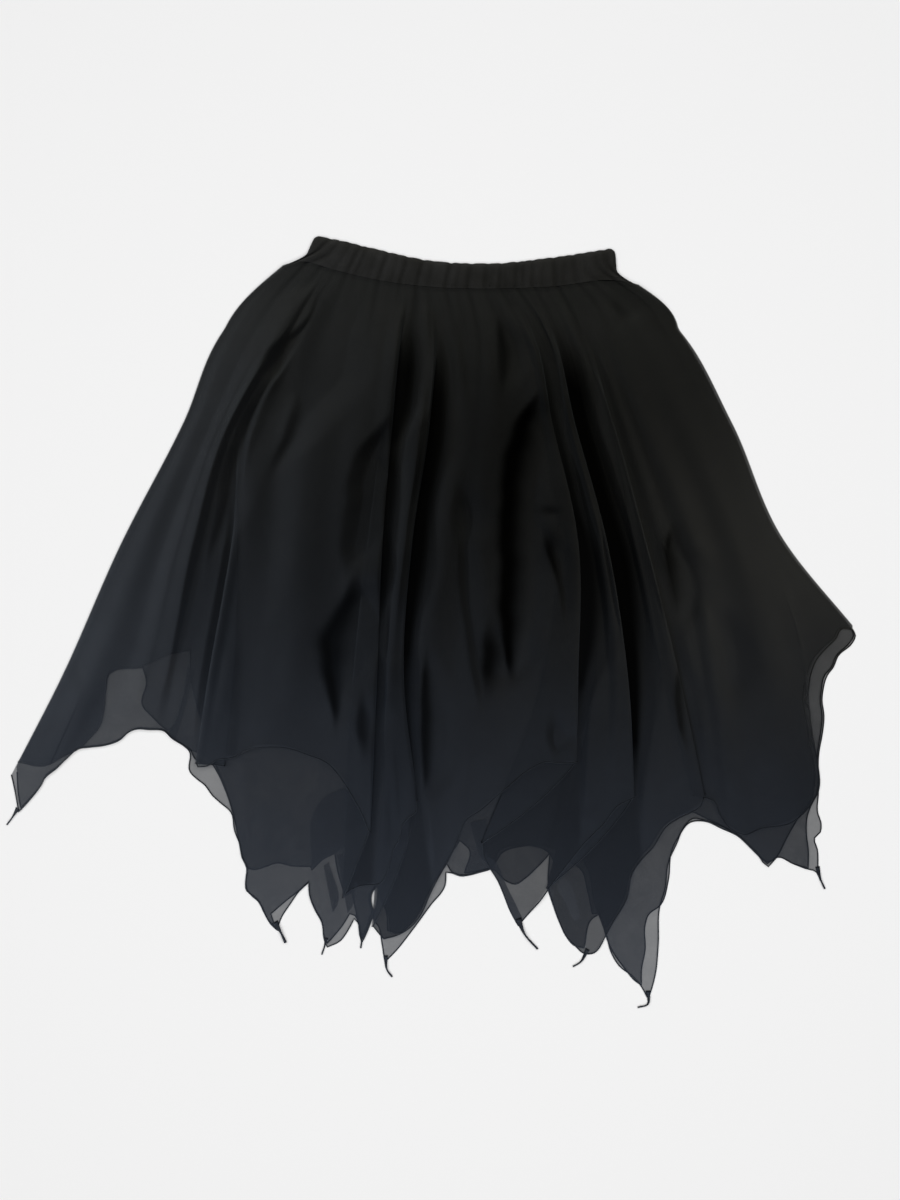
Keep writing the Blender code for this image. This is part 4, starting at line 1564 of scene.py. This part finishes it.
@dataclass
class UnderTier(Cloth):
    """A cloth that lies flat below the top one."""

    hem: Sequence[Spot] = ()
    ground: Ground = field(default_factory=Ground)
    spacing: float = 0.0065
    hem_spacing: float = 0.004
    laps: Sequence[Sequence[Spot]] = ()
    lap_lift: float = 0.0005
    # How far the sides stand out: to the right, and all sides less this inset
    rim: float = 0.0
    side_inset: float = 0.0006
    side_steps: int = 90
    side_run: float = 0.08
    waist_steps: int = 60
    # Points of the mesh keep this share of their spacing from its outline
    clearance: float = 0.45
    # The slight ripple of a laid cloth: its height, and its waves along x and y
    ripple: float = 0.0004
    waves: tuple[tuple[float, float], ...] = ((70.0, 31.0), (-27.0, 44.0))
    deepest_crease: float = 0.0004

    def side(self, row: Line, end_y: float, outwards: float) -> np.ndarray:
        """A side of the cloth from the waist to its hem.

        Args:
            row: The line it follows.
            end_y: y where the hem starts.
            outwards: How far it stands out from the line.

        Returns:
            Its points.
        """
        top = float(band_edge(row.waist * MM)) - SEAM_GAP
        y = np.linspace(top, end_y, self.side_steps)
        share = eased((top - y) / self.side_run)
        return np.stack([line_x(row, y) + outwards * share, y], axis=1)

    def outline(self) -> tuple[np.ndarray, int, int]:
        """The cloth's outline.

        Returns:
            Its points, and the numbers of the hem's first and last one.
        """
        hem = smooth_path(metres(self.hem), self.hem_spacing)
        left = self.side(WING[0], hem[0, 1], self.side_inset)[:-1]
        right = self.side(RIGHT_PANEL[-1], hem[-1, 1], self.rim - self.side_inset)[::-1][1:]
        x = np.linspace(right[-1, 0], left[0, 0], self.waist_steps)[1:-1]
        waist = np.stack([x, band_edge(x) - SEAM_GAP], axis=1)
        points = np.vstack([left, hem, right, waist])
        return points, len(left), len(left) + len(hem) - 1

    def inner_points(self, outline: np.ndarray) -> np.ndarray:
        """Even points inside the outline, clear of it.

        Args:
            outline: The cloth's outline.

        Returns:
            (n, 2) places.
        """
        low, high = outline.min(0), outline.max(0)
        places = []
        for row, height in enumerate(np.arange(low[1], high[1], self.spacing * math.sqrt(0.75))):
            x = np.arange(low[0] + (row % 2) * self.spacing / 2, high[0], self.spacing)
            places.append(np.stack([x, np.full_like(x, height)], axis=1))
        places = np.vstack(places)
        places = places[inside_polygon(places[:, 0], places[:, 1], outline)]
        clear = np.ones(len(places), bool)
        for corner in outline:
            clear &= np.hypot(*(places - corner).T) > self.clearance * self.spacing
        return places[clear]

    def lie(self, x: np.ndarray, y: np.ndarray) -> np.ndarray:
        """Height of the cloth.

        Args:
            x: Places' x.
            y: Places' y.

        Returns:
            z there.
        """
        base = self.ground.height(x, y, self.tier.value)
        # Each cloth's ripple is shifted, so that no two lie alike
        shifts = (2.1 * self.tier.value, self.tier.value)
        wave = np.ones_like(x)
        for (along_x, along_y), shift in zip(self.waves, shifts):
            wave *= np.sin(along_x * x + along_y * y + shift)
        height = base + self.ripple * (1 + wave)
        if self.tier is Tier.FRONT_LOWER:
            height += np.maximum(crease_lift(x, y, UNDER_CREASES), -self.deepest_crease)
        return height

    def patch(self, outline: np.ndarray, lift: float) -> tuple[np.ndarray, list]:
        """A flat-laid piece of cloth inside an outline.

        Args:
            outline: The outline, (n, 2).
            lift: How far it lies above the tier.

        Returns:
            Points and faces.
        """
        flat = np.vstack([outline, self.inner_points(outline)])
        flat = [Vector(place) for place in flat.tolist()]
        edges = [(n, (n + 1) % len(outline)) for n in range(len(outline))]
        places, _, faces, *_ = delaunay_2d_cdt(flat, edges, [], 1, 1e-7)
        xy = np.array([tuple(place) for place in places])
        points = np.column_stack([xy, self.lie(xy[:, 0], xy[:, 1]) + lift])
        return points, [list(face) for face in faces]

    def build(self) -> bpy.types.Object:
        """Builds the cloth and its hem.

        Returns:
            The cloth.
        """
        outline, first, last = self.outline()
        points, faces = self.patch(outline, 0.0)
        for lap in self.laps:
            ring = metres(lap)
            ring = smooth_path(np.vstack([ring, ring[:1]]), self.hem_spacing)[:-1]
            more, corners = self.patch(ring, self.lap_lift)
            faces += [[corner + len(points) for corner in face] for face in corners]
            points = np.vstack([points, more])
        sheet = mesh_object(self.name, points, faces, self.cloth)
        rim = outline[first:last + 1]
        hem = self.build_hem(np.column_stack([rim, self.lie(rim[:, 0], rim[:, 1])]))
        self.declare(sheet, hem, [LIES_ON[self.tier]])
        return sheet


LIES_ON = {
    Tier.BACK_UPPER: "pale_floor",
    Tier.BACK_LOWER: "back_upper_sheet",
    Tier.FRONT_LOWER: "back_lower_sheet",
    Tier.FRONT_UPPER: "front_lower_sheet",
}


@dataclass
class Waistband:
    """The gathered casing over its elastic."""

    finish: bpy.types.Material
    thread: bpy.types.Material
    columns: int = 640
    section_steps: int = 16
    # Half of the band's thickness, what the front puffs past it, and the back stays short
    half: float = 0.0027
    puff: float = 0.0004
    back_short: float = 0.0004
    # The section is level up to this share of its height, then rounds over
    crown: float = 0.25
    # Near its ends the band thins down to this share
    end_run: float = 0.004
    end_least: float = 0.2
    groove: float = 0.0032
    corner: float = 0.009
    # The lower corners run out sideways: how far, over which length and share of height
    flare: float = 0.0215
    flare_run: float = 0.05
    flare_height: float = 0.5
    flare_power: float = 1.7
    overlap: float = 0.0008
    # Painted shade in the grooves, for each metre of their depth
    pucker_shade: float = 230.0
    stitch_pitch: float = 0.0034
    stitch_length: float = 0.0022
    stitch_radius: float = 0.00022
    stitch_sides: int = 5
    stitch_inset: float = 0.004
    # Height of a stitch's five points over the cloth, in its radii
    stitch_arch: tuple[float, ...] = (-1.0, 0.0, 0.3, 0.0, -1.0)
    flat_width: float = 0.36

    def grid(self, front: bool) -> np.ndarray:
        """Points of one half of the casing.

        Args:
            front: True for the half on top.

        Returns:
            (columns, section points, 3) places.
        """
        share = np.linspace(0, 1, self.columns)[:, None]
        depth = np.linspace(0, 1, self.section_steps)[None, :]
        lower_x = mixed(BAND_LOW_LEFT, BAND_LOW_RIGHT, share) * MM
        upper_x = mixed(BAND_TOP_LEFT, BAND_TOP_RIGHT, share) * MM
        x = mixed(lower_x, upper_x, depth)
        drawn = SEWN_DEPTH * pucker_depth(lower_x, 1 - depth, self.groove)
        end = np.minimum(lower_x - lower_x[0], lower_x[-1] - lower_x)
        round_end = 1 - np.sqrt(1 - np.clip(1 - end / self.corner, 0, 1) ** 2)
        flare = self.flare * eased(1 - end / self.flare_run)
        flare = flare * np.clip(1 - depth / self.flare_height, 0, 1) ** self.flare_power
        x = x + np.where(share > 0.5, flare, -flare)
        top_drawn = SEWN_DEPTH * pucker_depth(lower_x, np.zeros_like(share), self.groove)
        upper_y = band_edge(upper_x, True) - top_drawn - self.corner * round_end
        y = mixed(band_edge(x[:, :1]) - self.overlap, upper_y, depth)
        over = np.clip(1 - ((depth - self.crown) / (1 - self.crown)) ** 4, 0.0, 1.0)
        over = np.sqrt(over) * np.sqrt(np.clip(end / self.end_run, self.end_least, 1.0))
        middle = self.half + 0.5 * SEAM_GAP
        if front:
            z = middle + (self.half + self.puff - drawn) * over
        else:
            z = middle - (self.half - self.back_short) * np.sqrt(over)
        return np.stack([x, y, np.broadcast_to(z, x.shape)], axis=2)

    def build_half(self, front: bool) -> bpy.types.Object:
        """Builds one half.

        Args:
            front: True for the half on top.

        Returns:
            The piece.
        """
        grid = self.grid(front)
        along, lean = np.meshgrid(
            np.linspace(BAND_LOW_LEFT, BAND_LOW_RIGHT, self.columns) * MM,
            np.linspace(1, 0, self.section_steps), indexing="ij",
        )
        # Painted shade along the grooves
        depth = self.pucker_shade * pucker_depth(along, lean, self.groove)
        if not front:
            grid = grid[:, ::-1]
        name = "waist_casing_front" if front else "waist_casing_back"
        piece = mesh_object(name, grid.reshape(-1, 3), grid_faces(*grid.shape[:2]), self.finish)
        set_painted_shade(piece, depth)
        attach(piece, "root")
        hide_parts("waistband_front" if front else "waistband_back")
        return piece

    def build_stitches(self) -> bpy.types.Object:
        """The row of stitches that closes the casing.

        Returns:
            The piece.
        """
        row = self.grid(True)[:, 2]
        run = np.concatenate([[0], np.cumsum(np.linalg.norm(np.diff(row, axis=0), axis=1))])
        length = np.linspace(0.0, self.stitch_length, len(self.stitch_arch))
        points, faces = [], []
        for start in np.arange(self.stitch_inset, run[-1] - self.stitch_inset, self.stitch_pitch):
            path = np.stack(
                [np.interp(start + length, run, row[:, axis]) for axis in range(3)], axis=1,
            )
            path[:, 2] += np.array(self.stitch_arch) * self.stitch_radius
            more, sides = tube(path, self.stitch_radius, self.stitch_sides, len(points))
            points += more
            faces += sides
        piece = mesh_object("casing_stitches", np.array(points), faces, self.thread)
        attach(piece, "root")
        return piece

    def build(self) -> None:
        """Builds both halves and the stitches."""
        front = self.build_half(True)
        back = self.build_half(False)
        stitches = self.build_stitches()
        counts = [len(piece.data.polygons) for piece in (front, back, stitches)]
        log.info("waistband: %d and %d faces a half, %d of stitches", *counts)


def linear(colour: str) -> tuple[float, float, float, float]:
    """A hex colour as the shaders take it.

    Args:
        colour: sRGB colour such as "#1a1c1f".

    Returns:
        Linear red, green and blue, and 1.
    """
    parts = [int(colour[n:n + 2], 16) / 255 for n in (1, 3, 5)]
    return (*[p / 12.92 if p <= 0.04045 else ((p + 0.055) / 1.055) ** 2.4 for p in parts], 1.0)


def feed(
    tree: bpy.types.NodeTree, node: bpy.types.Node, inputs: dict[Union[int, str], Feed],
) -> None:
    """Gives a node its inputs.

    Args:
        tree: The node's tree.
        node: The node.
        inputs: A socket or a value for each input, by the input's name or number.
    """
    for name, value in inputs.items():
        if isinstance(value, bpy.types.NodeSocket):
            tree.links.new(value, node.inputs[name])
        else:
            node.inputs[name].default_value = value


def add(
    tree: bpy.types.NodeTree, kind: str, inputs: dict[Union[int, str], Feed],
    output: Union[int, str] = 0, **settings: Any,
) -> bpy.types.NodeSocket:
    """Adds a node.

    Args:
        tree: The tree that takes it.
        kind: The node's type.
        inputs: A socket or a value for each input, by the input's name or number.
        output: Name or number of the output that is wanted.
        settings: The node's attributes.

    Returns:
        That output's socket.
    """
    node = tree.nodes.new(kind)
    for name, value in settings.items():
        setattr(node, name, value)
    feed(tree, node, inputs)
    return node.outputs[output]


def noise(
    tree: bpy.types.NodeTree, size: float, detail: float, distortion: float = 0.0,
) -> bpy.types.NodeSocket:
    """Adds a noise that is fixed to the piece.

    Args:
        tree: The tree that takes it.
        size: The noise's size, in metres.
        detail: How many finer noises it takes in.
        distortion: How far it is warped.

    Returns:
        Its output socket.
    """
    place = add(tree, "ShaderNodeTexCoord", {}, "Object")
    values = {"Vector": place, "Scale": 1 / size, "Detail": detail, "Distortion": distortion}
    return add(tree, "ShaderNodeTexNoise", values, "Fac")


def blend(
    tree: bpy.types.NodeTree, share: Feed, first: Feed, second: Feed,
) -> bpy.types.NodeSocket:
    """Adds a mix of two colours.

    Args:
        tree: The tree that takes it.
        share: Socket with the second colour's share.
        first: The colour at share 0, or its socket.
        second: The colour at share 1, or its socket.

    Returns:
        The mix's output socket.
    """
    return add(tree, "ShaderNodeMix", {0: share, 6: first, 7: second}, 2, data_type="RGBA")


def blank_material(name: str) -> tuple[bpy.types.Material, bpy.types.NodeTree, bpy.types.Node]:
    """A material with a Principled shader.

    Args:
        name: Its name.

    Returns:
        The material, its tree and its shader.
    """
    material = bpy.data.materials.new(name)
    material.use_nodes = True
    return material, material.node_tree, material.node_tree.nodes["Principled BSDF"]


# Painted shade: the near black mixed into the cloth in valleys, beside folds, in the middle and in
# the puckers
PAINTED_SHADE_COLOUR = linear("#020202")
SHEEN_TINT = linear("#aeb9c6")


@dataclass(frozen=True)
class Chiffon:
    """Black silk chiffon, 8 momme, plain weave of hard-twisted crepe yarn, piece-dyed.

    About 45 yarns a centimetre with open gaps let two fifths of the light through one
    layer, with a soft grainy look and no gloss but a faint cool sheen on folds.
    """

    name: str = "black_silk_chiffon"
    colour: str = "#0e0e0f"
    colour_light: str = "#171819"
    alpha_open: float = 0.49
    alpha_dense: float = 0.59
    # Opacity where the shade is painted, so that no floor shows through there
    alpha_painted_shade: float = 0.985
    roughness: float = 0.8
    roughness_range: float = 0.06
    ior: float = 1.5
    # Most of the yarns' gloss is lost in the gaps and in the twist.
    gloss: float = 0.08
    sheen: float = 0.06
    sheen_roughness: float = 0.45
    crepe_size: float = 0.0022
    crepe_share: float = 0.55
    cloud_size: float = 0.035
    cloud_share: float = 0.4
    # The yarns are 0.22 mm apart, too fine for a picture; they are drawn 1.1 mm apart.
    weave_pitch: float = 0.0011
    bump: float = 0.35
    bump_depth: float = 0.0003

    def yarns(self, tree: bpy.types.NodeTree, direction: str) -> bpy.types.NodeSocket:
        """Adds the yarns that run one way.

        Args:
            tree: The tree that takes them.
            direction: "X" or "Y", across the yarns.

        Returns:
            The output socket.
        """
        place = add(tree, "ShaderNodeTexCoord", {}, "Object")
        # A wave texture of scale 1 has a band every 2 pi / 20
        values = {
            "Vector": place, "Scale": 2 * math.pi / (20 * self.weave_pitch),
            "Distortion": 1.4, "Detail": 1.0, "Detail Scale": 3.0,
        }
        return add(tree, "ShaderNodeTexWave", values, "Fac", bands_direction=direction)

    def make(self) -> bpy.types.Material:
        """Makes the material.

        Returns:
            The material.
        """
        material, tree, shader = blank_material(self.name)
        yarns = {n: self.yarns(tree, direction) for n, direction in enumerate(("X", "Y"))}
        weave = add(tree, "ShaderNodeMath", yarns, operation="MAXIMUM")
        crepe = noise(tree, self.crepe_size, 3.0)
        cloud = noise(tree, self.cloud_size, 2.0, 1.2)
        grain = add(tree, "ShaderNodeMix", {0: self.crepe_share, 2: weave, 3: crepe})
        soft = add(tree, "ShaderNodeMix", {0: self.cloud_share, 2: grain, 3: cloud})
        alpha = add(tree, "ShaderNodeMapRange", {
            "Value": soft, "From Min": 0.3, "From Max": 0.75,
            "To Min": self.alpha_open, "To Max": self.alpha_dense,
        })
        # Painted shade: where the attribute is high the cloth turns near black and opaque and loses
        # its gloss and sheen
        depth = add(tree, "ShaderNodeAttribute", {}, "Fac", attribute_name=PAINTED_SHADE_NAME)
        colour = blend(tree, soft, linear(self.colour), linear(self.colour_light))
        feed(tree, shader, {
            "Base Color": blend(tree, depth, colour, PAINTED_SHADE_COLOUR),
            "Alpha": add(tree, "ShaderNodeMix", {0: depth, 2: alpha, 3: self.alpha_painted_shade}),
            "Roughness": add(tree, "ShaderNodeMapRange", {
                "Value": grain, "To Min": self.roughness - self.roughness_range,
                "To Max": self.roughness + self.roughness_range,
            }),
            "IOR": self.ior,
            "Sheen Roughness": self.sheen_roughness,
            "Sheen Tint": SHEEN_TINT,
            "Normal": add(tree, "ShaderNodeBump", {
                "Height": grain, "Strength": self.bump, "Distance": self.bump_depth,
            }),
        })
        for name, most in (("Specular IOR Level", self.gloss), ("Sheen Weight", self.sheen)):
            values = {"Value": depth, "To Min": most, "To Max": 0.0}
            feed(tree, shader, {name: add(tree, "ShaderNodeMapRange", values)})
        return material


@dataclass(frozen=True)
class DenseCloth:
    """The same silk where many layers lie together, as in a rolled hem or the casing.

    No light comes through it. Yarn ridges and crushed gathers catch a little more light.
    """

    name: str
    colour: str
    colour_light: str
    roughness: float = 0.7
    gloss: float = 0.12
    sheen: float = 0.08
    sheen_roughness: float = 0.4
    grain_size: float = 0.0012
    cloud_size: float = 1 / 45
    bump: float = 0.4
    bump_depth: float = 0.0003

    def make(self) -> bpy.types.Material:
        """Makes the material.

        Returns:
            The material.
        """
        material, tree, shader = blank_material(self.name)
        grain = noise(tree, self.grain_size, 3.0)
        cloud = noise(tree, self.cloud_size, 2.0)
        both = add(tree, "ShaderNodeMath", {0: grain, 1: cloud}, operation="MULTIPLY")
        light = add(tree, "ShaderNodeMapRange", {"Value": both, "From Min": 0.12, "From Max": 0.4})
        # Painted shade from the point attribute, as in the casing's grooves
        depth = add(tree, "ShaderNodeAttribute", {}, "Fac", attribute_name=PAINTED_SHADE_NAME)
        colour = blend(tree, light, linear(self.colour), linear(self.colour_light))
        feed(tree, shader, {
            "Base Color": blend(tree, depth, colour, PAINTED_SHADE_COLOUR),
            "Roughness": self.roughness,
            "Specular IOR Level": self.gloss,
            "Sheen Weight": self.sheen,
            "Sheen Roughness": self.sheen_roughness,
            "Sheen Tint": SHEEN_TINT,
            "Normal": add(tree, "ShaderNodeBump", {
                "Height": grain, "Strength": self.bump, "Distance": self.bump_depth,
            }),
        })
        return material


@dataclass(frozen=True)
class FloorPaint:
    """Plain pale matt board, rolled with flat paint."""

    name: str = "pale_floor_paint"
    colour: str = "#f1f1f1"
    roughness: float = 0.9
    grain_size: float = 1 / 220
    bump: float = 0.05
    bump_depth: float = 0.0002

    def make(self) -> bpy.types.Material:
        """Makes the material.

        Returns:
            The material.
        """
        material, tree, shader = blank_material(self.name)
        grain = noise(tree, self.grain_size, 2.0)
        feed(tree, shader, {
            "Base Color": linear(self.colour),
            "Roughness": self.roughness,
            "Normal": add(tree, "ShaderNodeBump", {
                "Height": grain, "Strength": self.bump, "Distance": self.bump_depth,
            }),
        })
        return material


@dataclass(frozen=True)
class Lamp:
    """A soft oblong light, flagged off from all but what it lights.

    Its spread is in degrees, its power in watts and its sizes and places in metres.
    """

    name: str
    place: tuple[float, float, float]
    aim: tuple[float, float, float]
    power: float
    size: tuple[float, float]
    colour: str
    spread: float

    def build(self, lit: bpy.types.Collection) -> None:
        """Builds the light.

        Args:
            lit: What it lights.
        """
        lamp = bpy.data.lights.new(self.name, "AREA")
        lamp.energy = self.power
        lamp.shape = "RECTANGLE"
        lamp.size, lamp.size_y = self.size
        lamp.spread = math.radians(self.spread)
        lamp.color = linear(self.colour)[:3]
        light = bpy.data.objects.new(self.name, lamp)
        light.location = self.place
        heading = Vector(self.aim) - Vector(self.place)
        light.rotation_euler = heading.to_track_quat("-Z", "Y").to_euler()
        light.light_linking.receiver_collection = lit
        bpy.context.scene.collection.objects.link(light)


@dataclass
class Studio:
    """Floor, camera above, a wash for the floor alone and five lamps for the skirt alone."""

    centre: tuple[float, float] = (0.0194, 0.0227)
    view_height: float = 1.296
    camera_height: float = 2.2
    floor_size: float = 30.0
    sky: float = 0.05
    wash: Lamp = Lamp(
        "floor_wash", (0.0, 0.0, 3.4), (0.0, 0.0, 0.0), 190.0, (5.0, 5.0), "#ffffff", 180.0)
    on_skirt: tuple[Lamp, ...] = (
        Lamp("window_left", (-1.05, 0.0, 0.26), (-0.55, 0.03, 0.0), 2.2, (0.6, 0.15),
             "#dfe6ef", 46.0),
        Lamp("window_wing", (-0.8, 0.12, 0.42), (-0.36, 0.12, 0.0), 1.5, (0.6, 0.2),
             "#d0dcee", 38.0),
        Lamp("window_low", (0.0, -0.85, 0.75), (0.05, -0.38, 0.0), 12.5, (1.5, 0.15),
             "#c2d0e8", 42.0),
        Lamp("room_top", (-0.05, 0.95, 0.45), (0.0, 0.38, 0.0), 1.9, (0.9, 0.1),
             "#f8f6e4", 38.0),
        Lamp("room_right", (0.95, 0.18, 0.55), (0.37, 0.04, 0.0), 0.9, (0.3, 0.4),
             "#fbf6e6", 28.0),
    )

    def build(self, paint: bpy.types.Material) -> None:
        """Builds the floor, the lights and the camera.

        Args:
            paint: The floor's material.
        """
        scene = bpy.context.scene
        skirt_lit = bpy.data.collections.new("lit_skirt")
        for piece in scene.objects:
            if piece.type == "MESH":
                skirt_lit.objects.link(piece)
        half = 0.5 * self.floor_size
        corners = half * np.array([(-1, -1, 0), (1, -1, 0), (1, 1, 0), (-1, 1, 0)])
        floor = mesh_object("pale_floor", corners, [(0, 1, 2, 3)], paint)
        floor_lit = bpy.data.collections.new("lit_floor")
        floor_lit.objects.link(floor)
        world = bpy.data.worlds.new("soft_room")
        world.use_nodes = True
        sky = {"Color": linear("#ffffff"), "Strength": self.sky}
        feed(world.node_tree, world.node_tree.nodes["Background"], sky)
        scene.world = world
        scene.view_settings.view_transform = "Standard"
        self.wash.build(floor_lit)
        for lamp in self.on_skirt:
            lamp.build(skirt_lit)
        camera = bpy.data.cameras.new("overhead")
        camera.lens = camera.sensor_width * self.camera_height / self.view_height
        eye = bpy.data.objects.new("overhead", camera)
        eye.location = (*self.centre, self.camera_height)
        scene.collection.objects.link(eye)
        scene.camera = eye


def main() -> None:
    """Builds the dressed skirt in order."""
    logging.basicConfig(level=logging.INFO, format="%(name)s: %(message)s")
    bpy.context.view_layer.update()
    chiffon = Chiffon().make()
    rolled = DenseCloth("rolled_hem_silk", "#030303", "#080909", sheen=0.03).make()
    casing = DenseCloth(
        "gathered_casing_silk", "#0e0e0f", "#18181a", roughness=0.8, gloss=0.06, sheen=0.04,
    ).make()
    ground = Ground()
    shared = {"cloth": chiffon, "hem_finish": rolled, "ground": ground}
    under = (
        UnderTier(Tier.BACK_UPPER, "back_upper_sheet", "back_upper_tier", tails=BACK_UPPER_TAILS,
                  hem=BACK_UPPER_HEM, rim=0.004, **shared),
        UnderTier(Tier.BACK_LOWER, "back_lower_sheet", "back_lower_tier", tails=BACK_LOWER_TAILS,
                  hem=BACK_LOWER_HEM, rim=0.0035, **shared),
        UnderTier(Tier.FRONT_LOWER, "front_lower_sheet", "front_lower_tier",
                  tails=FRONT_LOWER_TAILS, hem=FRONT_LOWER_HEM, laps=FRONT_LOWER_LAPS, **shared),
    )
    for tier in under:
        tier.build()
        ground.cover(tier.outline()[0])
    UpperTier(Tier.FRONT_UPPER, "front_upper_sheet", "front_upper_tier", tails=UPPER_TAILS,
              **shared).build()
    Waistband(casing, rolled).build()
    Studio().build(FloorPaint().make())


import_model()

if __name__ == "__main__":
    main()
